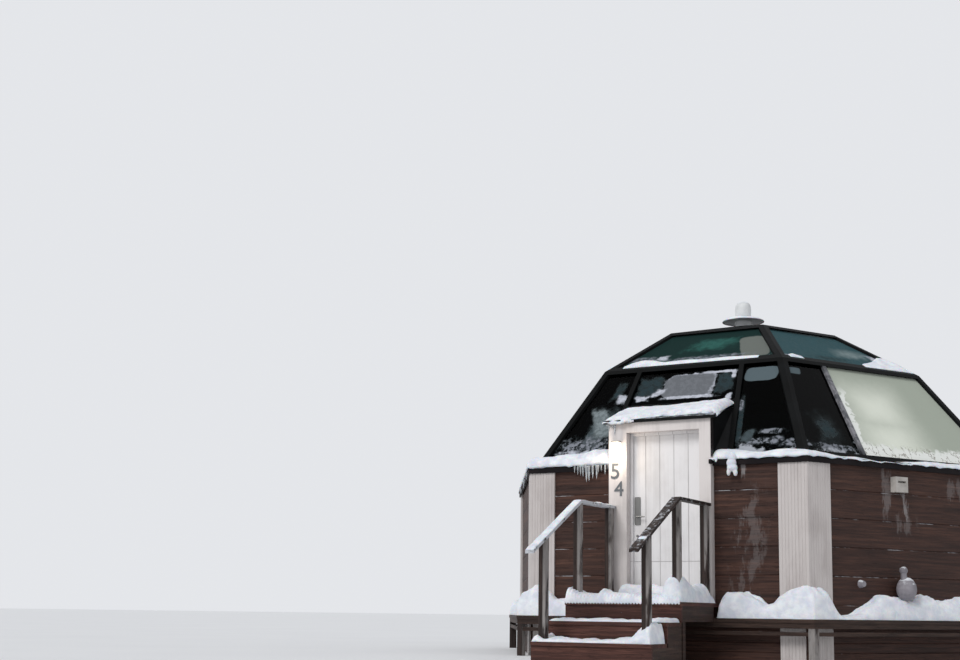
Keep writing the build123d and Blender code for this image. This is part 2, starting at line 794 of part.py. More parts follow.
def stringer():
    """A sawtooth side board under the treads, from the porch down to the ground."""
    section = [(porch_front + seat_gap, 0)]
    for n in range(1, steps_below_porch):
        under = porch_top - n * riser - tread_thickness - seat_gap
        start = porch_front + (n - 1) * tread_depth
        back = start + seat_gap if n == 1 else start - riser_board - seat_gap
        section += [(back, under), (porch_front + n * tread_depth - riser_board - seat_gap, under)]
    section.append((section[-1][0], 0))
    return profile_along_x(section, porch_half_width - stringer_width, porch_half_width)


frame_front = porch_front - riser_board - seat_gap
side_beam = block(porch_half_width - stringer_width, porch_half_width, -frame_front,
                  -ledge_face - seat_gap, ledge_under, deck_under - seat_gap)
leg = block(porch_half_width - porch_leg, porch_half_width, -frame_front, -frame_front + porch_leg,
            0, ledge_under - seat_gap)
right_hand = [stringer(), side_beam, leg]
write("porch_frame", right_hand + [mirror(piece, about=Plane.YZ) for piece in right_hand])

# Handrails: three posts and a flat board rail on each side
tread_level = porch_top - (steps_below_porch - 1) * riser
wall_post_y = casing_face + wall_post_setback + post_side / 2
front_post_y = porch_front - front_post_setback
low_post_y = stair_front - low_post_setback
rail_under = porch_top + rail_rise
stair_slope = riser / tread_depth


def sloping_under(reach):
    """Underside of the sloping rail, which leaves the level rail at the front post."""
    return rail_under - stair_slope * (reach - front_post_y)


def rail_outline():
    """The rail seen from the side: level from the casing, then parallel to the stair."""
    end = low_post_y + rail_overrun
    rise = rail_thickness * hypot(1, stair_slope)
    bend_top = front_post_y + (rise - rail_thickness) / stair_slope
    return [(casing_face + seat_gap, rail_under), (front_post_y, rail_under), (end, sloping_under(end)),
            (end, sloping_under(end) + rise), (bend_top, rail_under + rail_thickness),
            (casing_face + seat_gap, rail_under + rail_thickness)]


rail = profile_along_x(rail_outline(), post_offset - rail_width / 2, post_offset + rail_width / 2)
write("handrail_right", rail)
write("handrail_left", mirror(rail, about=Plane.YZ))
over_the_rail = [(0, rail_under), (front_post_y, rail_under), (far, sloping_under(far)), (far, far),
                 (0, far)]
rail_space = profile_along_x(over_the_rail, -far, far)


def post(reach, foot):
    """A square post cut to the underside of the rail."""
    tall = block(post_offset - post_side / 2, post_offset + post_side / 2, -reach - post_side / 2,
                 -reach + post_side / 2, foot + seat_gap, rail_under + post_side)
    return tall - Pos(0, 0, -seat_gap) * rail_space


right_posts = [post(wall_post_y, porch_top), post(front_post_y, porch_top), post(low_post_y, tread_level)]
write("posts_right", right_posts)
write("posts_left", [mirror(one, about=Plane.YZ) for one in right_posts])

# Vent on the crown hub: a flared collar, a shallow conical hat and a round-edged cap on a neck
stack_foot = hub_top + seat_gap
hat_level = stack_foot + collar_height + seat_gap


def hat():
    """A conical sheet with a flat middle."""
    under = [(0, hat_level), (collar_top_radius, hat_level), (hat_radius, hat_level - hat_fall)]
    over = [(reach, level + hat_thickness) for reach, level in reversed(under)]
    return spun(under + over)


cap_foot = hat_level + hat_thickness + seat_gap
neck = standing(Cylinder, cap_foot, vent_neck_radius, vent_neck_height + vent_cap_height / 2)
cap = Pos(0, 0, cap_foot + vent_neck_height) * barrel(vent_cap_radius, vent_cap_height, vent_cap_roundness)
collar_section = [(0, 0), (collar_radius, 0), (collar_top_radius, collar_height), (0, collar_height)]
collar = Pos(0, 0, stack_foot) * spun(collar_section)
write("roof_vent", [collar, hat(), neck + cap])

# Lamp beside the door
lamp_x = (opening_left - casing_half_width) / 2
lamp_back = casing_face + seat_gap
lamp_level = opening_top - lamp_drop
write("porch_lamp", block(lamp_x - lamp_width / 2, lamp_x + lamp_width / 2, -lamp_back - lamp_reach,
                          -lamp_back, lamp_level, lamp_level + lamp_height))

# Fittings on the right front wall, placed along it from its left corner


def along_wall(distance):
    return distance - wall_side / 2


fitting_back = log_face + seat_gap
box_x = along_wall(exhaust_along)
slot_level = exhaust_level + exhaust_height * 0.6
box = block(box_x - exhaust_width / 2, box_x + exhaust_width / 2, -fitting_back - exhaust_reach,
            -fitting_back, exhaust_level, exhaust_level + exhaust_height)
slot = block(box_x - exhaust_width / 3, box_x + exhaust_width / 3, -far, -fitting_back - exhaust_reach / 2,
             slot_level, slot_level + exhaust_slot)
write("exhaust_box", around(box - slot, [1]))
tap = Pos(along_wall(tap_along), -fitting_back, tap_level) * Rot(90, 0, 0) * standing(
    Cone, 0, tap_radius, tap_radius * 0.7, tap_reach)


def air_intake():
    """A round bulb on a pipe out of the wall, with an upright neck that ends in a knob."""
    middle = bulb_height / 2
    pipe = Pos(0, 0, middle) * Rot(-90, 0, 0) * standing(Cylinder, 0, bulb_pipe_radius, bulb_radius)
    neck = standing(Cylinder, middle, neck_radius, neck_height - middle)
    knob = Pos(0, 0, neck_height - knob_radius) * barrel(knob_radius, 2 * knob_radius, 1)
    shape = barrel(bulb_radius, bulb_height, 1) + pipe + Pos(-neck_shift, 0, 0) * (neck + knob)
    return Pos(along_wall(bulb_along), -fitting_back - bulb_radius, bulb_foot) * shape


write("wall_fittings", around(tap, [1]) + around(air_intake(), [1]))
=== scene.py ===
# %% [markdown]
# A six-sided log cabin under a faceted glass dome, as it stands after a winter night: snow on the
# ledge and the eaves, frost on the dark glass and a lamp lit beside the door. The cabin itself is
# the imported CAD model. This script gives its surfaces their finish and adds what lies on it.

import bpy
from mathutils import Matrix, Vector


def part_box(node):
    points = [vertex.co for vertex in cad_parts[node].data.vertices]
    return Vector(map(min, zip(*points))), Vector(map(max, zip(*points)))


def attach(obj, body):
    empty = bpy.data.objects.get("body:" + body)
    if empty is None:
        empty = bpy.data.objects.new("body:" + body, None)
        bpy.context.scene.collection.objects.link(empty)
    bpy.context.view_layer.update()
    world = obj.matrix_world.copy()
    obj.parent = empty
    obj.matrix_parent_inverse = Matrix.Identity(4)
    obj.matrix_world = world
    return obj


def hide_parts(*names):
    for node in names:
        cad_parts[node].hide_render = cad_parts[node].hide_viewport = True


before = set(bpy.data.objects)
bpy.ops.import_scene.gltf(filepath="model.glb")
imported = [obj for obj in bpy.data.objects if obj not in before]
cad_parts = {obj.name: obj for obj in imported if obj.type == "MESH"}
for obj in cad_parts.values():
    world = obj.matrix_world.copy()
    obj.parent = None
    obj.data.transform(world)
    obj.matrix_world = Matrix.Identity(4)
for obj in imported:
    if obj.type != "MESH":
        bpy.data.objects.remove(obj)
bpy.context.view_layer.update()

# %% [markdown]
# The cabin is a hexagon round the Z axis with its door facing -Y. A place on it is given by a turn
# round the hexagon, a distance from the axis square to the side, and a level.

# %% Libraries
from math import cos, pi, radians, sin, tan

import bmesh
import bpy
import numpy as np
from mathutils import Matrix

TAN30 = tan(radians(30))


# %% Places
def line(x, y, z):
    """Points from three coordinates, each an array or one number for all the points."""
    return np.stack(np.broadcast_arrays(x, y, z), -1)


def on_hexagon(turn, apothem, level):
    """Points on a hexagonal ring. turn runs from 0 to 6, one for each side, anticlockwise from the
    left end of the door side. Within a side, x is the share of the half side, (2 * part - 1) *
    apothem * tan 30, and y is -apothem; both are then turned by 60 degrees for each side passed."""
    side = np.floor(turn)
    x, angle = (2 * (turn - side) - 1) * apothem * TAN30, side * pi / 3
    return line(x * np.cos(angle) + apothem * np.sin(angle), x * np.sin(angle) - apothem * np.cos(angle), level)


def turned(points, side):
    """Points of the door side, moved round to another side by 60 degrees a side."""
    c, s = cos(side * pi / 3), sin(side * pi / 3)
    return points @ np.array([[c, s, 0], [-s, c, 0], [0, 0, 1]])


# %% [markdown]
# The dome's tiers are planes between the wall plate, the main ring, the crown ring and the apex.
# Their corners are read from the CAD nodes, so the snow and the curtain follow the real slopes.


# %% Measure the cabin
def vertices_of(mesh):
    """A mesh's vertices as rows of x, y and z."""
    co = np.empty(len(mesh.vertices) * 3)
    mesh.vertices.foreach_get("co", co)
    return co.reshape(-1, 3)


def reach_at(node, level):
    """The largest distance square to a side of a node's vertices at a level, in metres."""
    co = vertices_of(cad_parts[node].data)
    near = co[np.abs(co[:, 2] - level) < 0.002]
    directions = np.array([[sin(k * pi / 3), -cos(k * pi / 3)] for k in range(6)])
    return float((near[:, :2] @ directions.T).max())


ledge_reach, ledge_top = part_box("base_ledge")[1].y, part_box("base_ledge")[1].z
board_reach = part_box("corner_boards")[1].y
log_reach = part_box("back_walls")[1].y
fascia_reach, plate_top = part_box("eave_fascia")[1].y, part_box("eave_fascia")[1].z
foot_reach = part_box("foot_rail")[1].y
ring_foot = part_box("lower_ribs")[1].z
ring_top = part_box("middle_glass")[0].z
crown_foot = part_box("middle_glass")[1].z
lower_lean = (foot_reach - reach_at("dome_rings", ring_foot)) / (ring_foot - plate_top)
ring_top_reach = reach_at("dome_rings", ring_top)
middle_lean = (ring_top_reach - reach_at("dome_rings", crown_foot)) / (crown_foot - ring_top)
casing_low, casing_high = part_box("door_casing")
porch_low, porch_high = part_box("porch_deck")
roof_low, roof_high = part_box("dormer_roof")
print("ledge", round(ledge_reach, 3), round(ledge_top, 3), "eave", round(plate_top, 3))
print("leans", round(lower_lean, 3), round(middle_lean, 3))


# %% [markdown]
# The photograph was taken from low down, right of the door. A camera fitted to the cabin's corners
# gave its place, its angles and its focal length. The picture's crop is a shift of the lens.


# %% Camera
def linked(name, data):
    """A new object in the scene's collection."""
    made = bpy.data.objects.new(name, data)
    bpy.context.scene.collection.objects.link(made)
    return made


image_width, image_height = 960, 660
camera_place = (6.702, -19.767, 0.578)
camera_yaw, camera_pitch, camera_roll = radians(29.941), radians(7.52), radians(0.728)
focal_pixels = 1352.0
centre_u, centre_v = 479.09, 433.37
film_width = 36          # millimetres

camera = linked("camera", bpy.data.cameras.new("camera"))
camera.matrix_world = (Matrix.Translation(camera_place) @ Matrix.Rotation(camera_yaw, 4, "Z")
                       @ Matrix.Rotation(pi / 2 + camera_pitch, 4, "X") @ Matrix.Rotation(camera_roll, 4, "Z"))
camera.data.sensor_width = film_width
camera.data.lens = film_width * focal_pixels / image_width
camera.data.shift_x = (image_width / 2 - centre_u) / image_width
camera.data.shift_y = (centre_v - image_height / 2) / image_width
camera.data.clip_end = 300
bpy.context.scene.camera = camera
print("lens", round(camera.data.lens, 1), "mm, shift", round(camera.data.shift_y, 4))

# %% [markdown]
# Colours are written as sRGB hex, as a paint card gives them, and one function turns them linear.
# One more adds a shader node. Each note below says what the real surface is and how it was made.


# %% Colour and node helpers
def paint(code):
    """Linear RGBA of an sRGB hex colour: c / 12.92 up to 0.04045, else ((c + 0.055) / 1.055) ** 2.4."""
    share = [int(code[i:i + 2], 16) / 255 for i in (1, 3, 5)]
    return tuple(c / 12.92 if c <= 0.04045 else ((c + 0.055) / 1.055) ** 2.4 for c in share) + (1.0,)


class Pattern:
    """What a node gives, a number or a colour that varies over a surface. Each sum, product or
    comparison of patterns adds one math node, so a formula is written as it reads."""

    def __init__(self, socket): self.socket, self.tree = socket, socket.id_data
    def __add__(self, other): return number("ADD", self, other)
    def __sub__(self, other): return number("SUBTRACT", self, other)
    def __rsub__(self, other): return number("SUBTRACT", other, self)
    def __mul__(self, other): return number("MULTIPLY", self, other)
    def __truediv__(self, other): return number("DIVIDE", self, other)
    def __pow__(self, other): return number("POWER", self, other)
    def __lt__(self, other): return number("LESS_THAN", self, other)
    def __gt__(self, other): return number("GREATER_THAN", self, other)
    def __abs__(self): return number("ABSOLUTE", self)


def feed(node, inputs):
    """Gives inputs of a node, by name or number, a value each or the pattern that drives it."""
    for socket, value in inputs.items():
        if isinstance(value, Pattern):
            value.tree.links.new(value.socket, node.inputs[socket])
        else:
            node.inputs[socket].default_value = value


def add(tree, kind, output, inputs=None, **settings):
    """Adds a node with its settings and inputs, and returns one of its outputs."""
    made = tree.nodes.new(kind)
    for name, value in settings.items():
        setattr(made, name, value)
    feed(made, inputs or {})
    return Pattern(made.outputs[output])


def number(operation, *values):
    """One number from others by a math node, such as MAXIMUM or SIGN."""
    tree = next(value.tree for value in values if isinstance(value, Pattern))
    return add(tree, "ShaderNodeMath", 0, dict(enumerate(values)), operation=operation)


def start(name, **inputs):
    """A new material with plain values on its Principled node; returns material, tree and node."""
    material = bpy.data.materials.new(name)
    material.use_nodes = True
    surface = material.node_tree.nodes["Principled BSDF"]
    feed(surface, {socket.replace("_", " "): value for socket, value in inputs.items()})
    return material, material.node_tree, surface


def so_far(material):
    """A finish's tree, its Principled node and the colour that it has so far."""
    surface = material.node_tree.nodes["Principled BSDF"]
    return material.node_tree, surface, Pattern(surface.inputs["Base Color"].links[0].from_socket)


def dress(finish, *nodes):
    """Gives nodes of the cabin their finish."""
    for node in nodes:
        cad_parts[node].data.materials.clear()
        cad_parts[node].data.materials.append(finish)
    print(finish.name, "on", len(nodes), "nodes")


# %% [markdown]
# A few patterns come back in most finishes: noise stretched along a board for grain, a colour ramp
# and a soft step. Grain is coarser than real growth rings, since a pixel covers 13 mm at 20 m.


# %% Pattern helpers
def noise(tree, stretch=(1, 1, 1), scale=1.0, detail=4.0, roughness=0.55):
    """Noise on Object coordinates in metres, with each axis multiplied by stretch first."""
    place = add(tree, "ShaderNodeTexCoord", "Object")
    mapped = add(tree, "ShaderNodeMapping", 0, {"Vector": place, "Scale": stretch})
    return add(tree, "ShaderNodeTexNoise", "Fac",
               {"Vector": mapped, "Scale": scale, "Detail": detail, "Roughness": roughness})


def axis(tree, name, kind="ShaderNodeTexCoord", source="Object"):
    """One coordinate of the point, X, Y or Z."""
    return add(tree, "ShaderNodeSeparateXYZ", name, {"Vector": add(tree, kind, source)})


def facing(tree, name):
    """One coordinate of the point's normal, X, Y or Z."""
    return axis(tree, name, "ShaderNodeNewGeometry", "Normal")


def step(value, low, high):
    """0 under low, 1 over high, smooth between."""
    return add(value.tree, "ShaderNodeMapRange", 0, {"Value": value, "From Min": low, "From Max": high},
               interpolation_type="SMOOTHSTEP")


def mix(share, first, second):
    """A colour between two, each a hex code or a pattern."""
    first, second = (paint(c) if isinstance(c, str) else c for c in (first, second))
    return add(share.tree, "ShaderNodeMix", "Result", {"Factor": share, "A": first, "B": second}, data_type="RGBA")


def ramp(value, places, codes):
    """Hex colours that blend from one to the next at places between 0 and 1."""
    made = add(value.tree, "ShaderNodeValToRGB", "Color", {"Fac": value})
    elements = made.socket.node.color_ramp.elements
    while len(elements) < len(codes):
        elements.new(0.5)
    for element, place, code in zip(elements, places, codes):
        element.position, element.color = place, paint(code)
    return made


def coat(surface, colour, height, depth):
    """Gives a surface its colour, and a relief of depth metres for a height pattern's full range."""
    bump = add(height.tree, "ShaderNodeBump", 0, {"Height": height, "Distance": depth, "Strength": 1.0})
    feed(surface, {"Base Color": colour, "Normal": bump})


def frost_share(tree, amount, up_amount, size=9.0):
    """How much hoar frost covers a point: patches of noise, size of them to a metre, wider on faces
    that look up."""
    facing_up = step(facing(tree, "Z"), 0.25, 0.9)
    patches = noise(tree, scale=size, detail=8, roughness=0.7)
    return step(patches - (0.74 - amount - facing_up * up_amount), 0.0, 0.12)


# %% [markdown]
# The walls are square-sawn logs with a dark brown stain: long grain that runs with the log, paler
# where the stain has worn, and dark drying checks. Frost draws their bevelled joints as pale lines.


# %% Stained wood
def stained_wood(name, stretch, tones, frost=0.0, up_frost=0.10, check_depth=0.5, gloss=0.62, frost_size=9.0,
                 white_share=0.8, post_place=None):
    """Stained, sawn softwood. stretch is how fine the grain is along X, Y and Z, per metre. Where
    post_place is given, as a distance from the middle plane, wind has driven rime onto the faces that
    look right and onto the right half of the front of the posts that stand there."""
    material, tree, surface = start(name, Roughness=gloss, Specular_IOR_Level=0.25)
    fine = noise(tree, stretch, detail=8, roughness=0.62)
    broad = noise(tree, [v * 0.22 for v in stretch], detail=3)
    wood = ramp(fine * 0.62 + broad * 0.38, (0.3, 0.48, 0.6, 0.74), tones)
    split = noise(tree, [v * 0.8 for v in stretch], scale=1.3, detail=2)
    check = (1 - step(abs(split - 0.5), 0.0, 0.012)) * check_depth
    wood = mix(check, wood, tones[0])
    white = frost_share(tree, frost, up_frost, frost_size)
    if post_place:
        x = axis(tree, "X")
        off_middle = x - number("SIGN", x) * post_place
        driven = number("MAXIMUM", step(facing(tree, "X"), 0.5, 0.9), step(off_middle, 0.0, 0.02))
        rime = step(noise(tree, (9, 9, 2.4), detail=6), 0.36, 0.56)
        wood = mix(driven * rime * 0.7, wood, "#A29D9A")
    coat(surface, mix(white * white_share, wood, "#D5D8DE"), fine + white * 0.6 - check, 0.004)
    return material


wall_tones = ("#1F1411", "#3A2620", "#4C332A", "#69493B")
log_finish = stained_wood("dark stained spruce logs", (1.6, 1.6, 34), wall_tones, up_frost=0.32,
                          frost_size=2.6, white_share=0.5)
timber_tones = ("#171110", "#2B211E", "#3C2F2A", "#594A42")
rail_post_place = 0.657
beam_tones = ("#1B1210", "#33251F", "#46352D", "#5E4A40")
tread_tones = ("#21140F", "#452A24", "#5B3A31", "#77564A")
dress(log_finish, "right_front_wall", "back_walls", "left_front_wall", "front_wall_left", "front_wall_right",
      "front_wall_sill")
dress(stained_wood("dark stained skirt boards", (1.6, 1.6, 40), wall_tones, frost=0.05), "base_skirt")
dress(stained_wood("weathered posts", (42, 42, 2.2), timber_tones, frost=0.08, up_frost=0.3,
                   post_place=rail_post_place), "posts_left", "posts_right", "base_posts")
dress(stained_wood("frosted rail boards", (42, 2.4, 30), timber_tones, frost=0.42, up_frost=0.2), "handrail_left")
dress(stained_wood("weathered rail boards", (42, 2.4, 30), timber_tones, frost=0.2, up_frost=0.03,
                   frost_size=16, white_share=0.7), "handrail_right")
dress(stained_wood("weathered beams", (2.0, 2.0, 40), beam_tones, frost=0.04, up_frost=0.2), "base_ledge",
      "ledge_beams", "wall_plate", "dormer_frame", "porch_frame")
dress(stained_wood("stained step boards", (2.0, 40, 40), tread_tones, frost=0.06, up_frost=0.25),
      "stair_treads", "stair_risers")
dress(stained_wood("stained porch planks", (30, 2.0, 30), tread_tones, frost=0.06, up_frost=0.25), "porch_deck")


# %% [markdown]
# The corner boards, the casing and the door are softwood with a warm white paint, with faint upright
# streaks from the rain. The corner boards are a darker grey-beige than the casing, which is painted
# shade on the same white paint. The casing's outermost side faces are painted near black above the
# eave, as painted shade. On the door's face, dirt darkens the seams between its planks and one line
# across them, at kick height.


# %% White paint
def white_paint(name, base, shade, streak, gloss=0.45, frost=0.03):
    """Painted boards: upright streaks between two tones, and a little frost."""
    material, tree, surface = start(name, Roughness=gloss)
    streaks = noise(tree, (22, 22, 0.9), detail=6)
    cloud = noise(tree, (2.5, 2.5, 1.6), detail=4)
    colour = mix(step(streaks * streak + cloud * (1 - streak), 0.42, 0.66), base, shade)
    white = frost_share(tree, frost, 0.2, size=14)
    coat(surface, mix(white * 0.6, colour, "#EDF0F4"), streaks, 0.0015)
    return material


casing_finish = white_paint("white painted casing", "#DAD3D0", "#C6BFBC", streak=0.4)
door_finish = white_paint("white painted door", "#E6E4E4", "#D6D3D2", streak=0.3, gloss=0.38, frost=0.0)

tree, surface, colour = so_far(casing_finish)
# Painted shade: the casing's outermost side faces are painted near black above the eave.
edge = abs(facing(tree, "X")) > 0.8
outer_side_painted_shade = abs(axis(tree, "X")) > casing_high.x - 0.002
over_eave = axis(tree, "Z") > plate_top + 0.02
feed(surface, {"Base Color": mix(edge * outer_side_painted_shade * over_eave, colour, "#1D1718")})

tree, surface, colour = so_far(door_finish)
leaf_low, leaf_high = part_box("door_leaf")
plank_pitch, kick_height, seam_half = 0.198, 0.38, 0.006
seam_x = (leaf_low.x + leaf_high.x + plank_pitch) / 2
off_seam = number("PINGPONG", axis(tree, "X") - seam_x, plank_pitch / 2)
off_kick = abs(axis(tree, "Z") - (leaf_low.z + kick_height))
seam = 1 - step(number("MINIMUM", off_seam, off_kick), 0.4 * seam_half, seam_half)
on_face = facing(tree, "Y") < -0.5
feed(surface, {"Base Color": mix(seam * on_face * 0.55, colour, "#8E8A89")})

# The corner boards' grey-beige, darker than the casing's white, is painted shade on the same white paint.
dress(white_paint("white painted boards with painted shade", "#C4BDBA", "#B0A8A5", streak=0.4), "corner_boards")
dress(casing_finish, "door_casing")
dress(door_finish, "door_leaf", "door_frame")


# %% [markdown]
# The dome's frame is aluminium with a black powder coat, matt and slightly rough. The dormer and the
# fascia are folded steel sheet with a dark coat. Frost dusts all of them, more where they look up.


# %% Coated metal
def coated_metal(name, base, worn, gloss, frost, up_frost, gleam=0.12):
    """Powder-coated sheet: an even dark tone, clouded a little, with fine orange peel and frost. gleam
    is the specular level, low because the coat is matt."""
    material, tree, surface = start(name, Roughness=gloss, Specular_IOR_Level=gleam)
    cloud = noise(tree, (3, 3, 3), detail=5)
    peel = noise(tree, scale=180, detail=1)
    white = frost_share(tree, frost, up_frost, size=12)
    colour = mix(white * 0.75, mix(step(cloud, 0.4, 0.7), base, worn), "#CDD2DA")
    coat(surface, colour, peel * 0.2 + white, 0.002)
    return material


mullion_finish = coated_metal("black coated aluminium mullions", "#050606", "#0B0D0E", 0.6, -0.06, 0.06, gleam=0.08)
fascia_finish = coated_metal("dark coated fascia", "#120E10", "#1D1718", 0.6, -0.02, 0.3)
dress(coated_metal("black coated aluminium frame", "#050606", "#0B0D0E", 0.6, -0.06, 0.06, gleam=0.08),
      "foot_rail", "lower_ribs", "dome_rings", "upper_ribs", "crown_hub")
dress(mullion_finish, "lower_mullions")
dress(coated_metal("dark crown panels", "#0A0E10", "#141B1D", 0.5, -0.04, 0.12), "crown_panels")
dress(coated_metal("dark coated dormer sheet", "#0A0B0C", "#141517", 0.5, -0.04, 0.3),
      "dormer_roof", "dormer_cheeks")
dress(fascia_finish, "eave_fascia")

# %% [markdown]
# The panes are sealed double glass with a dark solar coat, which takes most of the reflection away.
# On them lie hoar frost that grows from the lower edge and patches of fog and frost, and one pane is
# milky all over; a few pale patches high on the panes are painted sheen, a painted reflection. Each
# is a share from 0 to 1 that takes transmission away and adds a pale, rough skin. A patch is found by
# how far along a side it lies, and at what level.


# %% Places on the glass
def on_side(tree, side):
    """Distance along a side from its middle, x cos t + y sin t, and outwards, x sin t - y cos t, for
    the side's turn t of 60 degrees a side, by Object coordinates."""
    turn, x, y = side * pi / 3, axis(tree, "X"), axis(tree, "Y")
    return x * cos(turn) + y * sin(turn), x * sin(turn) - y * cos(turn)


def patch(tree, ragged, wander, side, x, level, half_x, half_z, edge, lean=0.0):
    """1 inside a rounded box on a side's glass, 0 outside: (|a| ^ 5 + |b| ^ 5) ^ (1 / 5) under 1, where a
    and b are the distances from its middle, x along the side and level, over half its size. edge is
    how soft its edge is and lean how far it moves along the side for each metre up. Noise of 0 to 1
    moves its edge by up to half of wander times its size. A point belongs to the side where
    |along| < outwards * tan 30."""
    along, outward = on_side(tree, side)
    rise = axis(tree, "Z") - level
    shift = along - rise * lean - x
    reach = (abs(shift / half_x) ** 5 + abs(rise / half_z) ** 5) ** (1 / 5)
    inside = 1 - step(reach + (ragged - 0.5) * wander, 1 - edge, 1.0)
    return inside * (abs(along) < outward * TAN30)


# %% [markdown]
# The patches that the photograph shows, and a few of the same kinds on the sides that it doesn't. A
# kind says its colour, how much it covers, how far its edge wanders and how torn it is. Each row is
# a kind and a side, then x and level of the middle, half the size, edge and lean.

# %% Patches of frost and fog
FOG, HAZE, MIST = ("#6E7176", 0.93, 0.3, 0.0), ("#35454A", 0.8, 1.2, 0.3), ("#566368", 0.85, 0.8, 0.2)
# PAINTED_SHEEN is a painted reflection: pale patches high on the panes, not frost.
FROST, RIME, PAINTED_SHEEN = ("#BFC2CC", 1.0, 1.6, 0.1), ("#868A93", 0.95, 1.8, 0.7), ("#5A676C", 0.95, 0.2, 0.0)
RIM, BREATH = ("#A5A8B1", 1.0, 0.5, 0.2), ("#838D90", 0.95, 0.8, 0.15)
front_patches = [
    (HAZE, 0, -0.53, 3.71, 0.22, 0.19, 0.4, -0.1), (HAZE, 0, 0.55, 3.7, 0.15, 0.18, 0.4),
    (RIM, 0, 0.05, 3.7, 0.39, 0.2, 0.1, 0.1), (FOG, 0, 0.03, 3.7, 0.37, 0.18, 0.1, 0.25),
    (FROST, 0, 0.4, 3.885, 0.34, 0.022, 0.4), (FROST, 0, 0.66, 3.83, 0.035, 0.06, 0.4),
    (FROST, 0, -0.6, 3.53, 0.13, 0.055, 0.4), (FROST, 0, -0.4, 3.6, 0.09, 0.08, 0.5, 0.8),
    (FROST, 0, 0.05, 3.52, 0.48, 0.03, 0.5), (FROST, 0, 0.66, 3.5, 0.06, 0.07, 0.4),
    (HAZE, 0, -0.99, 3.68, 0.1, 0.18, 0.6, 0.3), (FROST, 0, -0.92, 3.55, 0.12, 0.09, 0.5, 0.25),
    (MIST, 0, -1.12, 3.08, 0.2, 0.4, 0.5, 0.3), (BREATH, 0, -1.11, 3.18, 0.16, 0.3, 0.45, -0.4),
    (RIME, 0, -1.2, 2.84, 0.62, 0.17, 0.5), (FROST, 0, -1.15, 2.72, 0.62, 0.09, 0.6),
    (PAINTED_SHEEN, 0, 1.05, 3.8, 0.24, 0.11, 0.08), (HAZE, 0, 0.91, 3.1, 0.045, 0.44, 0.4, -0.11),
    (RIME, 0, 0.87, 3.35, 0.04, 0.11, 0.4, -0.11), (RIME, 0, 1.38, 2.93, 0.22, 0.045, 0.6),
    (RIME, 0, 1.25, 2.8, 0.36, 0.07, 0.6), (RIME, 0, 1.7, 2.76, 0.24, 0.07, 0.6, -0.5),
    (MIST, 0, 1.06, 2.88, 0.1, 0.12, 0.5, 0.3)]
side_patches = [
    (HAZE, 1, -1.18, 2.98, 0.26, 0.3, 0.9, 0.1), (RIME, 1, -1.72, 2.76, 0.16, 0.09, 0.6, -0.6),
    (RIME, 1, -1.2, 2.73, 0.5, 0.05, 0.6), (PAINTED_SHEEN, 1, -1.17, 3.84, 0.12, 0.06, 0.3, 0.5),
    (HAZE, 2, 0.4, 3.0, 0.6, 0.25, 0.9), (RIME, 2, -1.2, 2.8, 0.35, 0.15, 0.7),
    (RIME, 3, 0.6, 2.8, 0.7, 0.12, 0.7), (MIST, 3, -1.0, 3.0, 0.3, 0.4, 0.9, 0.2),
    (HAZE, 4, 0.2, 3.0, 0.7, 0.3, 0.9), (RIME, 4, 1.1, 2.8, 0.4, 0.14, 0.7),
    (RIME, 5, 0.9, 2.82, 0.6, 0.18, 0.7), (MIST, 5, 1.2, 3.1, 0.35, 0.45, 0.9, -0.2)]
TEAL, BLUE, PALE = ("#172B29", 0.85, 0.4, 0.0), ("#3F5C63", 0.85, 0.3, 0.1), ("#8A999B", 0.9, 0.9, 0.2)
GREEN, GREY = ("#35665E", 0.8, 1.2, 0.2), ("#70746F", 0.93, 0.2, 0.0)
middle_patches = [
    (TEAL, 0, 0.0, 4.35, 1.3, 0.4, 0.2), (GREEN, 0, 0.1, 4.42, 0.42, 0.14, 0.7, 0.6),
    (GREY, 0, 0.76, 4.31, 0.22, 0.21, 0.1, -0.55), (RIME, 0, -0.85, 4.22, 0.26, 0.06, 0.7),
    (RIME, 0, 0.1, 4.16, 0.75, 0.05, 0.6), (FROST, 0, -0.55, 4.22, 0.1, 0.05, 0.6),
    # The first PALE row, a thin pale streak high on the right front side, is a painted sheen.
    (BLUE, 1, 0.0, 4.35, 1.4, 0.45, 0.2), (PALE, 1, 0.2, 4.68, 0.55, 0.05, 0.6),
    (PALE, 1, 0.45, 4.32, 0.45, 0.12, 0.9, 0.8), (HAZE, 1, -0.15, 4.16, 0.5, 0.06, 0.8),
    (FROST, 1, -0.95, 4.11, 0.16, 0.03, 0.6), (FROST, 1, 0.98, 4.22, 0.26, 0.16, 0.5),
    *((TEAL, side, 0.0, 4.35, 1.4, 0.45, 0.2) for side in (2, 3, 4, 5)),
    (RIME, 2, -0.4, 4.18, 0.6, 0.08, 0.7), (RIME, 3, 0.3, 4.18, 0.8, 0.07, 0.7),
    (RIME, 4, -0.4, 4.18, 0.5, 0.08, 0.7), (RIME, 5, 0.2, 4.19, 0.7, 0.08, 0.7)]
print("patches on the glass:", len(front_patches) + len(side_patches) + len(middle_patches))

# %% [markdown]
# The milky pane is right of the mullion on the right front side. The light of the curtain behind it
# is painted on it in two broad places. Frost is thick along the mullion and the lower edge, with bare
# twigs behind it low down, and there is one dark gap at the top left corner.


# %% Glass
def milky_share(tree):
    """1 right of the right front side's mullion, and how far beyond it a point lies. The mullion's
    foot is left of the side's middle, and it leans by lean metres for each metre up."""
    foot, lean = 0.833, 0.177
    along, outward = on_side(tree, 1)
    beyond = along - ((axis(tree, "Z") - plate_top) * lean - foot)
    return step(beyond, 0.0, 0.02) * (outward > 0.0), beyond


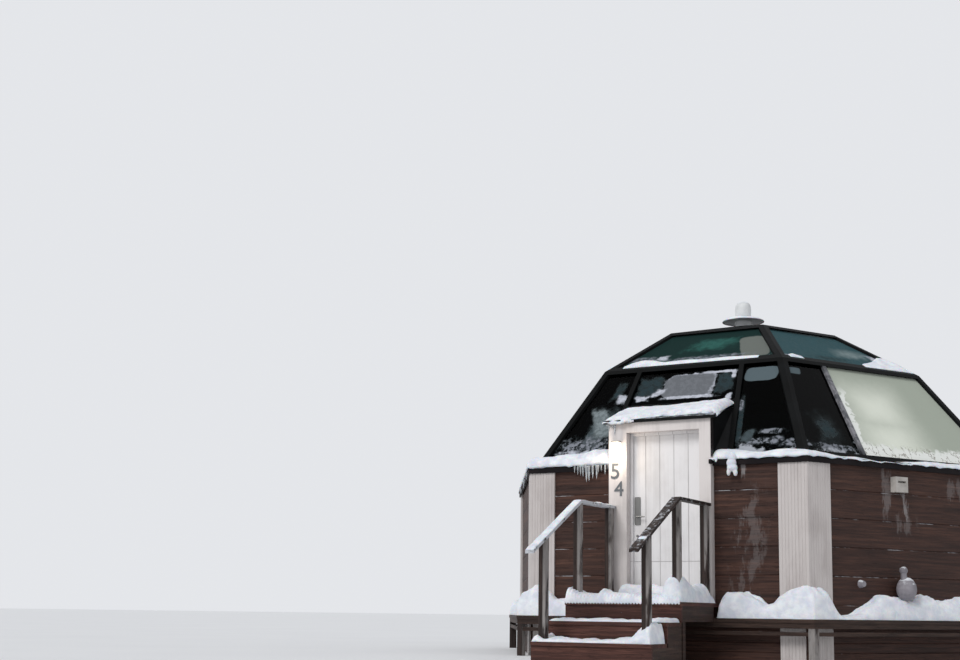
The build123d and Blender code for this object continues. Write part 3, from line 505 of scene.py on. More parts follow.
def milky_skin(tree, ragged, rim, beyond):
    """The colours of the milky pane, with two broad places of painted light where the lit curtain shows through."""
    z = axis(tree, "Z")
    lit = number("MAXIMUM", patch(tree, ragged, 0.3, 1, 0.0, 3.38, 0.85, 0.55, 1.0),
                 patch(tree, ragged, 0.3, 1, -0.05, 2.88, 1.0, 0.58, 1.0))
    glow = mix(lit, "#AAB1A4", "#E4E8DB")
    bits = 1 - number("MAXIMUM", step(rim * 0.34 + beyond, 0.33, 0.36), step(z, 3.5, 3.72))
    bits = bits * step(noise(tree, (4, 4, 9), detail=4), 0.38, 0.46)
    low_frost = step(rim * 0.35 - z, -2.66, -2.58)
    glow = mix(number("MAXIMUM", bits, low_frost), glow, "#EDEFEA")
    twigs = noise(tree, (6, 6, 3), detail=4, roughness=0.6)
    thin = (1 - step(abs(twigs - 0.5), 0.008, 0.018)) * (1 - step(z, 2.78, 2.86))
    glow = mix(patch(tree, rim, 0.3, 1, -0.61, 3.85, 0.055, 0.12, 0.3, 0.16), glow, "#4E5953")
    return mix(thin * 0.7, glow, "#6A5F50")


def dark_glass(name, tint, foot_level, frost_height, patches, index=1.09, milky_pane=False):
    """Coated glass with frost up to about frost_height over foot_level, and patches of fog and frost.
    index is the refractive index, lower than 1.5 because the coat cancels most of the reflection."""
    material, tree, surface = start(name, IOR=index)
    ragged = noise(tree, scale=3.2, detail=9, roughness=0.68)
    crystals = noise(tree, scale=26, detail=6, roughness=0.7)
    height = (axis(tree, "Z") - foot_level) / frost_height
    frost = step(crystals * 0.12 + (ragged - height * 0.22), 0.5, 0.62)
    cover, skin = frost * 0.92, mix(frost, "#5F696B", "#B4B8C0")
    rim = noise(tree, scale=8, detail=5, roughness=0.6)
    gaps = step(noise(tree, scale=17, detail=5, roughness=0.62), 0.44, 0.54)
    for (colour, share, wander, torn), *place in patches:
        inside = patch(tree, rim, wander, *place)
        if torn:
            inside = inside * (gaps * torn + (1 - torn))
        skin = mix(inside, skin, colour)
        cover = number("MAXIMUM", cover, inside * share)
    if milky_pane:
        milky, beyond = milky_share(tree)
        skin = mix(milky, skin, milky_skin(tree, ragged, rim, beyond))
        cover = number("MAXIMUM", cover, milky * 0.97)
    feed(surface, {"Transmission Weight": 1 - cover, "Roughness": cover * 0.55 + 0.02})
    coat(surface, mix(cover, tint, skin), cover * crystals, 0.004)
    return material


# %% [markdown]
# Wind has blown thin smears of frost onto the logs, and breath from the exhaust box has frozen under
# it. The broad soft patch right of the door, 1.4 m up, is partly frost and partly painted light, a pale
# pool of light on the logs. The same patch function draws them, with very soft edges.

# %% Smears of frost on the walls, and one patch of painted light
tree, surface, logs = so_far(log_finish)
frost_and_light_ragged = step(noise(tree, (7, 7, 2.2), detail=7, roughness=0.7), 0.38, 0.62)
# The second place, 1.15 m along and 1.4 m up, is partly frost and partly a painted pool of light.
for place, share in (((0, 1.11, 2.41, 0.03, 0.12), 0.35), ((0, 1.15, 1.4, 0.18, 0.6), 0.1),
                     ((1, -0.54, 2.18, 0.07, 0.26), 0.16), ((1, -0.23, 2.00, 0.06, 0.15), 0.34),
                     ((1, -0.24, 1.73, 0.16, 0.12), 0.12), ((1, 0.8, 2.25, 0.25, 0.12), 0.12)):
    logs = mix(patch(tree, frost_and_light_ragged, 1.5, *place, 0.8) * share, logs, "#C9C6C6")
feed(surface, {"Base Color": logs})

# %% [markdown]
# The mullion beside the milky pane has a strip of rime all the way up, where warm air leaks out.

# %% Rime on one mullion
tree, surface, black = so_far(mullion_finish)
grain = noise(tree, scale=9, detail=6, roughness=0.65)
strip = patch(tree, grain, 0.7, 1, -0.7, 3.33, 0.075, 0.72, 0.3, 0.165)
mottle = mix(step(grain, 0.4, 0.58), "#5E6064", "#8F8E93")
feed(surface, {"Base Color": mix(strip * 0.9, black, mottle)})

# %% Glass finishes
glass_foot = plate_top + 0.08
tint = "#1C2324"
dress(dark_glass("dark solar glass, sides", tint, glass_foot, 0.26, side_patches, milky_pane=True), "side_glass")
dress(dark_glass("dark solar glass, door side", tint, glass_foot, 0.26, front_patches), "front_glass")
dress(dark_glass("dark solar glass, middle tier", "#3E5755", ring_top, 0.1, middle_patches, 1.03), "middle_glass")


# %% [markdown]
# The small fittings are brushed or dull steel and grey enamelled sheet, and the floor inside is
# oiled pine board. Brushing leaves fine lines along one way, here upright.


# %% Fittings and floor
def brushed(name, base, gloss, frost=0.02):
    """Bare metal with fine upright lines, and a little frost."""
    material, tree, surface = start(name, Roughness=gloss)
    lines = noise(tree, (180, 180, 6), detail=3)
    white = frost_share(tree, frost, 0.25, size=25)
    feed(surface, {"Metallic": 1 - white})
    coat(surface, mix(white, base, "#D8DCE2"), lines, 0.0006)
    return material


def enamel(name, base, shade, frost, gloss=0.5):
    """Enamelled or moulded sheet with a faint cloud and frost."""
    material, tree, surface = start(name, Roughness=gloss)
    cloud = noise(tree, (5, 5, 5), detail=5)
    white = frost_share(tree, frost, 0.3, size=16)
    colour = mix(white * 0.8, mix(step(cloud, 0.4, 0.7), base, shade), "#E3E7EC")
    coat(surface, colour, white + cloud * 0.2, 0.003)
    return material


handle_finish = brushed("dull steel door furniture", "#8E8D8B", 0.38)
vent_finish = enamel("pale grey enamelled vent", "#DDDFDF", "#C9CBCC", frost=0.12)
grey_finish = enamel("grey enamelled fittings", "#B7B2AC", "#9A958F", frost=0.05)
dress(brushed("brushed stainless steel", "#B9B7B4", 0.32), "threshold", "door_hinges")
dress(handle_finish, "door_handle")
dress(vent_finish, "roof_vent")
dress(grey_finish, "exhaust_box")
dress(enamel("frosted mauve grey intake", "#8E8A90", "#6E6A70", frost=0.14), "wall_fittings")
dress(stained_wood("oiled pine floor", (1.5, 18, 18), ("#8A6A47", "#A98457", "#BD996B", "#CDAE84"), frost=-0.5,
                   up_frost=0.0, check_depth=0.1, gloss=0.4), "floor_deck", "floor_joists")

# %% [markdown]
# Settled snow is a bright, very rough white with a painted cool shade in its hollows; light goes a
# few millimetres into it. Old snow that has melted and frozen again is ice: clear, with white inside.
# The lamp's glass is opal and glows, and the curtain is a pale woven cloth.

# %% Snow, ice and small materials
snow_finish, tree, surface = start("settled snow", Roughness=0.85, Subsurface_Weight=0.25, Subsurface_Scale=0.03)
grains = noise(tree, scale=60, detail=6, roughness=0.7)
crust = noise(tree, scale=7, detail=6, roughness=0.6)
# The bluish tone where the crust relief is low is painted shade in the hollows.
coat(surface, mix(step(crust, 0.3, 0.7), "#D6DAE4", "#F1F3F6"), crust + grains * 0.35, 0.02)

ice_finish, tree, surface = start("refrozen ice", Roughness=0.12, IOR=1.31, Transmission_Weight=0.55)
bubbles = noise(tree, scale=40, detail=4)
coat(surface, mix(step(bubbles, 0.35, 0.65), "#C9D2DA", "#F0F4F7"), bubbles, 0.003)

digit_finish = coated_metal("grey painted digits", "#64686C", "#75797C", 0.5, -0.05, 0.05, gleam=0.2)

lamp_finish, tree, surface = start("opal lamp glass", Roughness=0.3, Emission_Strength=3.0,
                                   Emission_Color=paint("#FFF1DC"))
feed(surface, {"Base Color": mix(noise(tree, (9, 9, 9), detail=2), "#F7F2E8", "#FFFDF8")})

curtain_finish, tree, surface = start("woven curtain cloth", Roughness=0.9, Sheen_Weight=0.3)
weave = noise(tree, (260, 260, 260), detail=1)
coat(surface, mix(weave, "#C9CDC2", "#DDE0D6"), weave, 0.001)


# %% [markdown]
# Every new piece is a grid of points. A tube closes its columns round and fans both ends to a middle
# point, so that each lump of snow is one closed shell.


# %% Mesh helpers
def quads(rows, columns, closed=True):
    """Faces between neighbours in rows x columns of points, and from the last column to the first."""
    row = np.arange(rows - 1)[:, None] * columns
    column = np.arange(columns if closed else columns - 1)
    after = (column + 1) % columns
    corners = [row + column, row + after, row + columns + after, row + columns + column]
    return np.stack(corners, -1).reshape(-1, 4).tolist()


def tube(points):
    """A closed shell from rows x columns of points: quads round each pair of rows, fans at both ends."""
    rows, columns = points.shape[:2]
    first, last, end = rows * columns, rows * columns + 1, (rows - 1) * columns
    fans = [(first, (c + 1) % columns, c) for c in range(columns)]
    fans += [(last, end + c, end + (c + 1) % columns) for c in range(columns)]
    centres = np.stack([points[0].mean(0), points[-1].mean(0)])
    return np.concatenate([points.reshape(-1, 3), centres]), quads(rows, columns) + fans


def piece(name, shells, finish=snow_finish, body="cabin", stands_for=()):
    """One object from several closed shells, with its faces outwards, riding on a body."""
    points, faces, offset = [], [], 0
    for vertices, shell_faces in shells:
        points.append(vertices)
        faces += [[index + offset for index in face] for face in shell_faces]
        offset += len(vertices)
    mesh = bpy.data.meshes.new(name)
    mesh.from_pydata(np.concatenate(points).tolist(), [], faces)
    work = bmesh.new()
    work.from_mesh(mesh)
    bmesh.ops.remove_doubles(work, verts=work.verts, dist=1e-6)
    bmesh.ops.recalc_face_normals(work, faces=work.faces)
    work.to_mesh(mesh)
    work.free()
    mesh.shade_smooth()
    mesh.materials.append(finish)
    made = linked(name, mesh)
    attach(made, body)
    if stands_for:
        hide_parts(*stands_for)
    print(name, len(mesh.vertices), "points", len(mesh.polygons), "faces")
    return made


# %% [markdown]
# Snow heaps are sums of smooth bumps of a few sizes, from sine waves in seeded directions. A drift
# is a strip between two base lines with a rounded top, against a wall or free on both sides.


# %% Snow helpers
sunk = 0.004             # metres that a drift's underside lies below its base lines


def lumps(points, size, seed):
    """Smooth bumps of about size metres, mostly from -1 to 1: 3.4 times the mean of 24 sine waves
    with seeded directions, lengths near size and phases."""
    draw = np.random.default_rng(seed)
    waves = draw.normal(size=(24, 3))
    waves *= 2 * pi / (size * draw.uniform(0.7, 1.5, (24, 1)) * np.linalg.norm(waves, axis=1, keepdims=True))
    return 3.4 * np.sin(points @ waves.T + draw.uniform(0, 2 * pi, 24)).mean(-1)


def humps(place, *bumps):
    """A sum of bell curves along a line: height * exp(-((place - middle) / width) ** 2) for each."""
    return sum(height * np.exp(-((place - middle) / width) ** 2) for middle, width, height in bumps)


def along_line(place, *marks, soft=0.012):
    """Heights read off a line through (place, height) marks, with its corners rounded by an average
    over a soft share of the line."""
    places, heights = zip(*marks)
    span = max(3, int(soft * len(place)) | 1)
    padded = np.pad(np.interp(place, places, heights), span // 2, mode="edge")
    return np.convolve(padded, np.ones(span) / span, mode="valid")


def tapered(count, share=0.02):
    """Rises from 0 to 1 over the first share of a line, as a quarter ellipse, and falls at the end."""
    place = np.linspace(0, 1, count)
    ends = np.minimum(place, 1 - place) / share
    return np.sqrt(1 - (1 - np.clip(ends, 0, 1)) ** 2)


def drift(inner, outer, lift, leaning, rough, seed, columns=14, power=2.4, droop=0.0, ends=None):
    """A strip of snow as a closed shell. inner and outer are its base lines and lift is how far its top
    is above them, in metres straight up or as vectors, tapered over a share ends at both ends. Across
    the strip q runs from 0 to 1 and the top is at inner (1 - q) + outer q + lift p(q), with
    p = (1 - q^n)^(1/n) when it leans on a wall and (1 - |2q - 1|^n)^(1/n) when it doesn't. rough
    scales the bumps and droop lets the outer lip sag."""
    lift = line(0, 0, lift) if lift.ndim == 1 else lift
    if ends:
        lift = lift * tapered(len(lift), ends)[:, None]
    q = (1 - np.cos(np.linspace(0, pi, columns))) / 2
    profile = (1 - q ** power if leaning else 1 - np.abs(2 * q - 1) ** power) ** (1 / power)
    base = inner[:, None] * (1 - q)[:, None] + outer[:, None] * q[:, None]
    top = base + lift[:, None] * profile[:, None]
    tallest = np.linalg.norm(lift, axis=1, keepdims=True)
    bumps = 0.55 * lumps(top, 0.42, seed) + 0.30 * lumps(top, 0.15, seed + 1) + 0.15 * lumps(top, 0.06, seed + 2)
    direction = lift / np.maximum(tallest, 1e-9)
    top = top + direction[:, None] * (tallest * np.sqrt(profile) * bumps * rough)[..., None]
    top[..., 2] -= droop * q ** 6 * (0.5 + 0.7 * lumps(top, 0.13, seed + 3))
    under = base[:, ::-1][:, 1:-1] - np.array([0, 0, sunk])
    return tube(np.concatenate([top, under], 1))


# %% [markdown]
# The ledge round the walls carries the thickest snow: it leans on the boards, with heaps where it
# slid off the roof corners, and it stops at the porch. The heights come from the photograph, where
# the lens is level with the ledge, so a heap's top reads directly as its height.

# %% Snow on the ledge
porch_edge = porch_high.x + 0.035
side_half = ledge_reach * TAN30
start_turn = (porch_edge / side_half + 1) / 2
ledge_turn = np.linspace(start_turn, 7 - start_turn, 960)
heights = along_line(
    ledge_turn, (0.69, 0.27), (0.725, 0.34), (0.8, 0.32), (0.828, 0.26), (0.85, 0.17), (0.872, 0.18),
    (0.91, 0.3), (0.945, 0.385), (0.97, 0.41), (1.04, 0.385), (1.072, 0.365), (1.098, 0.12), (1.118, 0.04),
    (1.185, 0.06), (1.212, 0.11), (1.235, 0.2), (1.252, 0.13), (1.275, 0.27), (1.31, 0.33), (1.345, 0.32),
    (1.42, 0.25), (1.47, 0.33), (1.525, 0.33), (1.555, 0.22), (1.59, 0.25), (1.67, 0.31), (1.8, 0.22),
    (1.93, 0.2), (1.98, 0.3), (2.05, 0.24), (2.3, 0.18), (2.5, 0.26), (2.75, 0.2), (2.97, 0.28),
    (3.05, 0.22), (3.3, 0.17), (3.6, 0.25), (3.9, 0.18), (4.0, 0.27), (4.1, 0.17), (4.45, 0.22), (4.8, 0.16),
    (4.98, 0.26), (5.08, 0.18), (5.4, 0.22), (5.75, 0.15), (5.9, 0.24), (5.985, 0.31), (6.02, 0.36), (6.047, 0.39),
    (6.07, 0.355), (6.093, 0.3), (6.116, 0.25), (6.2, 0.27), (6.32, 0.24), soft=0.007)
heights *= tapered(960, 0.006)
ledge_inner = on_hexagon(ledge_turn % 6, board_reach + 0.001, ledge_top)
ledge_outer = on_hexagon(ledge_turn % 6, ledge_reach - 0.006, ledge_top)
piece("ledge_snow", [drift(ledge_inner, ledge_outer, heights, True, 0.16, 11, columns=18, power=2.6)])

# %% [markdown]
# Between the corner boards the logs stand 28 mm further back, so a second strip fills the gap behind
# the first. At the eave the snow sits in the corner between the fascia and the foot of the glass.

# %% Snow behind it, and along the eave
shells = []
corner_board_width, strip_width = 0.378, 0.035
board_half = board_reach * TAN30 - corner_board_width
for side in range(7):     # 0 and 6 are the parts of the door side right and left of the porch
    x = np.linspace(porch_edge if side == 0 else -board_half, -porch_edge if side == 6 else board_half,
                    24 if side in (0, 6) else 90)
    rise = np.interp(side + (x / side_half + 1) / 2, ledge_turn, heights)
    base = line(x, -log_reach - 0.001, ledge_top)
    front = base - np.array([0, strip_width, 0])
    shells.append(drift(turned(base, side), turned(front, side), rise, True, 0.2, 11, columns=6, power=6))
piece("ledge_snow_against_the_logs", shells)

dormer_edge = roof_high.x - 0.06
eave_half = fascia_reach * TAN30
eave_start = ((dormer_edge - 0.02) / eave_half + 1) / 2
eave_turn = np.linspace(eave_start, 7 - eave_start, 960)
rise = along_line(
    eave_turn, (0.69, 0.09), (0.72, 0.1), (0.75, 0.075), (0.9, 0.06), (1.0, 0.055), (1.08, 0.04), (1.15, 0.018),
    (1.22, 0.03), (1.28, 0.008), (1.35, 0.012), (1.42, 0.008), (1.48, 0.025), (1.54, 0.045), (1.6, 0.04),
    (1.9, 0.05), (2.0, 0.08), (2.2, 0.07), (2.6, 0.11), (3.0, 0.09), (3.3, 0.12), (3.8, 0.1), (4.0, 0.11),
    (4.4, 0.09), (4.8, 0.12), (5.0, 0.1), (5.4, 0.11), (5.8, 0.11), (6.0, 0.1), (6.1, 0.12), (6.2, 0.13),
    (6.3, 0.14))
rise *= 1 + 0.22 * lumps(on_hexagon(eave_turn % 6, 3.3, 2.6), 0.5, 5)
rise = np.maximum(rise, 0.006) * tapered(960, 0.004)
eave_inner = on_hexagon(eave_turn % 6, foot_reach - lower_lean * rise * 1.1 + 0.004, plate_top + rise * 1.1)
eave_outer = on_hexagon(eave_turn % 6, fascia_reach + 0.012, plate_top - 0.012)
outwards = on_hexagon(eave_turn % 6, 1.0, 0) - on_hexagon(eave_turn % 6, 0.0, 0)
eave_lift = (outwards * 0.35 + np.array([0, 0, 0.75])) * rise[:, None] * 0.75
piece("eave_snow", [drift(eave_inner, eave_outer, eave_lift, False, 0.3, 31, power=2.6, droop=0.02)])


# %% [markdown]
# On the middle tier the snow holds where the glass meets the main ring, as a wedge that is thicker
# away from the ribs. The slab on the dormer roof lies back from the roof's edge in the middle and at
# the right, and sags over it at its left.


# %% Snow on the main ring and the dormer
def on_ring(side, x, above):
    """Points of a side's middle tier at distances x along it and above the top of the ring."""
    return turned(line(x, middle_lean * above - ring_top_reach, ring_top + above), side)


ring_heaps = (
    (0, 1.5, ((-1.05, 0.003), (-0.95, 0.025), (-0.78, 0.04), (-0.6, 0.03), (-0.45, 0.012), (-0.1, 0.015),
              (0.1, 0.008), (0.5, 0.012), (0.95, 0.003))),
    (1, 1.2, ((-1.1, 0.003), (-1.0, 0.02), (-0.85, 0.003))),
    (1, 7.0, ((0.3, 0.002), (0.6, 0.012), (0.9, 0.03), (1.05, 0.03), (1.15, 0.02), (1.27, 0.003))),
    (2, 1.2, ((-1.2, 0.03), (-0.6, 0.08), (0.0, 0.04), (0.7, 0.06), (1.2, 0.01))),
    (3, 1.2, ((-1.2, 0.02), (-0.3, 0.07), (0.5, 0.05), (1.2, 0.02))),
    (4, 1.2, ((-1.2, 0.02), (-0.2, 0.05), (0.4, 0.08), (1.2, 0.02))),
    (5, 1.2, ((-1.2, 0.02), (-0.4, 0.08), (0.6, 0.05), (1.2, 0.03))))
shells = []
for n, (side, climb, marks) in enumerate(ring_heaps):
    x = np.linspace(marks[0][0], marks[-1][0], 120)
    thick = along_line(x, *marks) * tapered(120, 0.05)
    shells.append(drift(on_ring(side, x, 0.01 + climb * thick), on_ring(side, x, -0.03), thick, False, 0.4,
                        51 + n, columns=12))
piece("ring_snow", shells)

x = np.linspace(roof_low.x - 0.012, roof_high.x + 0.012, 150)
edge_top = roof_low.z + 0.044        # top of the roof sheet's front edge
back_y = -(foot_reach - lower_lean * (roof_high.z - plate_top))
roof_pitch = (roof_high.z - edge_top) / (back_y - roof_low.y)
set_back = along_line(x, (-0.8, -0.02), (-0.38, -0.02), (-0.22, 0.06), (0.0, 0.12), (0.25, 0.08), (0.45, 0.13),
                      (0.78, 0.09))
front_level = edge_top + roof_pitch * np.maximum(set_back, 0) + np.minimum(set_back, 0)
front = line(x, roof_low.y + set_back - 0.004, front_level)
back = line(x, back_y + 0.012, roof_high.z - 0.004)
thick = along_line(x, (-0.78, 0.045), (-0.5, 0.05), (0.0, 0.055), (0.45, 0.075), (0.7, 0.09), (0.78, 0.045))
piece("dormer_snow", [drift(back, front, thick, False, 0.22, 71, columns=30, power=5.0, droop=0.05, ends=0.04)])

# %% [markdown]
# The vent is spun from sheet: a collar, a wide flat hat and a domed cap, as one profile turned round
# its axis, rounder than the CAD solid that it stands for. A thin crust of snow covers the hat.

# %% Roof vent and its snow
vent_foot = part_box("roof_vent")[0].z
vent_profile = np.array([  # radius, and level over the vent's foot
    (0.13, 0.000), (0.128, 0.004), (0.119, 0.022), (0.117, 0.088), (0.119, 0.09), (0.15, 0.09), (0.308, 0.09),
    (0.314, 0.092), (0.316, 0.097), (0.314, 0.102), (0.308, 0.105), (0.16, 0.124), (0.1, 0.132), (0.083, 0.135),
    (0.081, 0.138), (0.081, 0.154), (0.083, 0.157), (0.102, 0.159), (0.112, 0.165), (0.119, 0.18), (0.122, 0.215),
    (0.122, 0.28), (0.119, 0.32), (0.11, 0.353), (0.093, 0.381), (0.067, 0.4), (0.034, 0.41), (0.01, 0.413)])
angle = np.linspace(0, 2 * pi, 64, endpoint=False)
around = line(np.cos(angle), np.sin(angle), 0)
shell = vent_profile[:, :1, None] * around + line(0, 0, vent_foot + vent_profile[:, 1:])
piece("vent_shell", [tube(shell)], vent_finish, stands_for=["roof_vent"])
seam = 0.004             # radians left open at the back, where the crust's ends meet
angle = np.linspace(pi / 2, 2.5 * pi - seam, 97)
spokes = line(np.cos(angle), np.sin(angle), 0)
inner = spokes * 0.088 + np.array([0, 0, vent_foot + 0.132])      # by the neck
outer = spokes * 0.3195 + np.array([0, 0, vent_foot + 0.090])     # just over the rim
thick = 0.032 + 0.007 * lumps(spokes, 0.8, 131)
piece("vent_snow", [drift(inner, outer, thick, False, 0.25, 133, columns=12)])

# %% [markdown]
# The porch is swept only where people walk. Snow lies against the foot of the door, round the foot of
# the right front post, along the plank ends and in thin strips on the steps.

# %% Snow on the porch and the steps
deck_top = porch_high.z
shells = []
x = np.linspace(-0.52, 0.6, 90)
depth = along_line(x, (-0.52, 0.22), (-0.3, 0.32), (0.1, 0.34), (0.35, 0.45), (0.6, 0.5))
back = line(x, casing_low.y + 0.02, deck_top)
front = back - line(0, depth, 0)
tall = along_line(x, (-0.52, 0.16), (-0.46, 0.23), (-0.05, 0.23), (0.0, 0.21), (0.25, 0.2), (0.6, 0.21))
shells.append(drift(back, front, tall, True, 0.12, 81, columns=20, power=4.0, ends=0.05))
y = np.linspace(porch_low.y + 0.015, casing_low.y - 0.01, 90)
tall = along_line(y - porch_low.y, (0.0, 0.1), (0.1, 0.27), (0.2, 0.31), (0.42, 0.25), (0.62, 0.2), (0.85, 0.19),
                  (1.0, 0.23), (1.12, 0.12))
right_edge = line(porch_high.x - 0.004, y, deck_top)
left_edge = right_edge - np.array([0.27, 0, 0])
shells.append(drift(left_edge, right_edge, tall, False, 0.2, 85, columns=24, power=2.6, ends=0.04))
x = np.linspace(porch_low.x + 0.004, porch_high.x - 0.01, 300)
tall = along_line(x, (-0.76, 0.1), (-0.745, 0.2), (-0.7, 0.17), (-0.6, 0.12), (-0.45, 0.1), (-0.33, 0.11),
                  (-0.28, 0.17), (-0.22, 0.12), (-0.1, 0.11), (0.4, 0.12), (0.76, 0.1))
comb_step = 0.041        # between the plank ends that show through the edge
comb = 0.5 + 0.5 * np.cos(2 * pi * x / comb_step)
back = line(x, porch_low.y + 0.36, deck_top)
front = line(x, porch_low.y - 0.006, deck_top - 0.012 - 0.016 * comb)
shells.append(drift(back, front, tall, False, 0.15, 88, columns=20, power=3.5, ends=0.01))
tread_low, tread_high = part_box("stair_treads")
step_rise, step_run = 0.241, 0.457
tread_heaps = (((-0.75, 0.05), (-0.6, 0.03), (0.45, 0.03), (0.58, 0.05), (0.75, 0.04)),
               ((-0.75, 0.09), (-0.6, 0.05), (-0.4, 0.04), (0.2, 0.045), (0.45, 0.07), (0.6, 0.15), (0.7, 0.22),
                (0.75, 0.19)))
x = np.linspace(tread_low.x + 0.01, tread_high.x - 0.01, 120)
for n in range(2):
    level = tread_high.z - n * step_rise
    nose = tread_low.y + (1 - n) * step_run
    cover = along_line(x, *tread_heaps[n]) * (1 + 0.3 * lumps(line(x, x, x), 0.3, 90 + n))
    back, front = line(x, nose + step_run - 0.02, level), line(x, nose + 0.004, level)
    shells.append(drift(back, front, cover, True, 0.3, 92 + n, columns=18, power=3, ends=0.03))
piece("porch_snow", shells)


# %% [markdown]
# A thin crust of snow lies along the left handrail and broken patches on the right one, with a clump
# at the left one's low end.


# %% Snow on the handrails
def rail_line(y):
    """Height of a rail's upper face at each y: level as far as rail_bend, then down with the steps."""
    return rail_top - np.maximum(rail_bend - y, 0) * step_rise / step_run


rail_low, rail_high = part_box("handrail_right")
rail_top, rail_depth = rail_high.z, 0.04
rail_bend = rail_low.y + (rail_top - rail_low.z - rail_depth) * step_run / step_rise
for name, hand, base_rise, low_end, seed in (("left_rail_snow", -1, 0.012, 0.02, 101),
                                              ("right_rail_snow", 1, -0.01, 0.0, 113)):
    y = np.linspace(rail_high.y - 0.01, rail_low.y + 0.006, 240)
    centre, half = hand * (rail_low.x + rail_high.x) / 2, (rail_high.x - rail_low.x) / 2 - 0.002
    level = rail_line(y) - 0.001
    rise = base_rise + 0.010 * lumps(line(y, y, y), 0.34, seed) + humps(y, (rail_low.y + 0.05, 0.06, low_end))
    inner, outer = line(centre - half, y, level), line(centre + half, y, level)
    piece(name, [drift(inner, outer, np.maximum(rise, 0.0), False, 0.4, seed + 2, columns=10, ends=0.02)])


# %% [markdown]
# Icicles grow where melt water leaves the eave, in front of the warm glass, and a few drips run down
# from the dormer over the casing's left corner. Each is a thin cone with a wavy outline.


# %% Icicles
def icicles(places, lengths, seed):
    """Cones that hang from places. At a share t of its length, an icicle's radius is
    r (1 - t)^0.8 (1 + 0.12 sin(9 t + phase)), with r a tenth of its length plus 6 mm."""
    draw = np.random.default_rng(seed)
    t = np.linspace(0, 0.97, 9)
    angle = np.linspace(0, 2 * pi, 8, endpoint=False)
    ring = line(np.cos(angle), np.sin(angle), 0)
    made = []
    for place, length in zip(places, lengths):
        radius = (0.006 + 0.09 * length) * (1 - t) ** 0.8 * (1 + 0.12 * np.sin(9 * t + draw.uniform(0, 6)))
        sway = draw.normal(0, 0.012, 2) * length
        spine = line(sway[0] * t, sway[1] * t, -length * t) + place
        made.append(tube(spine[:, None] + ring[None] * radius[:, None, None]))
    return made


draw = np.random.default_rng(7)
icicle_y, icicle_top = -fascia_reach - 0.004, plate_top - 0.02
left_x = np.linspace(-1.24, -0.75, 12) + draw.normal(0, 0.012, 12)
left_lengths = draw.uniform(0.07, 0.17, 12) + humps(left_x, (-1.02, 0.1, 0.07))
shells = icicles(line(left_x, icicle_y, icicle_top), left_lengths, 8)
for side in (2, 3, 4, 5):
    places = line(draw.uniform(-1.6, 1.6, 9), icicle_y, icicle_top)
    shells += icicles(turned(places, side), draw.uniform(0.04, 0.13, 9), 20 + side)
drip_places = line(np.linspace(-0.73, -0.62, 5), casing_low.y - 0.01, casing_high.z + 0.01)
shells += icicles(drip_places, draw.uniform(0.08, 0.18, 5), 31)
piece("icicles", shells, ice_finish)

# %% [markdown]
# Right of the dormer, melt water off its roof has frozen into a lump with two legs. It is made of
# rounded balls that run into each other, joined by a voxel remesh so that it is one skin.


# %% Ice lump under the eave
def ball(centre, radii, rings=14, columns=20, power=1.0):
    """An ellipsoid: x and y are r cos(u)^p, z is r sin(u)^p, with p under 1 for a boxier one."""
    u = np.linspace(-pi / 2, pi / 2, rings + 2)[1:-1]
    v = np.linspace(0, 2 * pi, columns, endpoint=False)
    up, out, across, deep = (np.sign(w) * np.abs(w) ** power for w in (np.sin(u), np.cos(u), np.cos(v), np.sin(v)))
    x, y, z = out[:, None] * across, out[:, None] * deep, up[:, None]
    return tube(line(x, y, z) * np.array(radii) + np.array(centre))


lump_y = -fascia_reach - 0.045
lump_balls = (((0.985, 2.56), (0.055, 0.045, 0.07)), ((0.98, 2.49), (0.065, 0.05, 0.06)),
              ((0.99, 2.43), (0.07, 0.05, 0.05)), ((0.94, 2.375), (0.025, 0.03, 0.05)),
              ((1.03, 2.37), (0.028, 0.03, 0.055)))
lump = piece("eave_ice_lump", [ball((x, lump_y, z), radii) for (x, z), radii in lump_balls])
remesh = lump.modifiers.new("one_skin", "REMESH")
remesh.mode, remesh.voxel_size, remesh.use_smooth_shade = "VOXEL", 0.012, True

# %% [markdown]
# The lamp beside the door is an opal glass body under a grey plate. It has round corners here and
# stands for the CAD model's plain block. A weak point light throws its glow onto casing and door.

# %% Wall lamp
lamp_low, lamp_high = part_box("porch_lamp")
lamp_middle = (np.array(lamp_low) + np.array(lamp_high)) / 2
lamp_half = (np.array(lamp_high) - np.array(lamp_low)) / 2
glass_half = lamp_half * np.array([0.92, 0.94, 0.90])
piece("wall_lamp_glass", [ball(lamp_middle, glass_half, 24, 32, power=0.35)], lamp_finish,
      stands_for=["porch_lamp"])
cap_half = 0.012
cap_middle = lamp_middle + np.array([0, 0, lamp_half[2] - cap_half])
piece("wall_lamp_cap", [ball(cap_middle, (lamp_half[0], lamp_half[1], cap_half), 10, 32, power=0.35)], grey_finish)
lamp_watts, lamp_radius = 4.0, 0.05
lamp_light = linked("lamp_light", bpy.data.lights.new("lamp_light", "POINT"))
lamp_light.data.energy, lamp_light.data.shadow_soft_size = lamp_watts, lamp_radius
lamp_light.data.color = paint("#FFEBD2")[:3]
lamp_light.location = (lamp_middle[0], lamp_low.y - 0.1, lamp_low.z - 0.02)

# %% [markdown]
# Two small metal parts of the photograph are added here: the wide plate behind the door's lever and
# keyhole, which rides on the leaf, and a short bracket with frost on it at the casing's right edge.

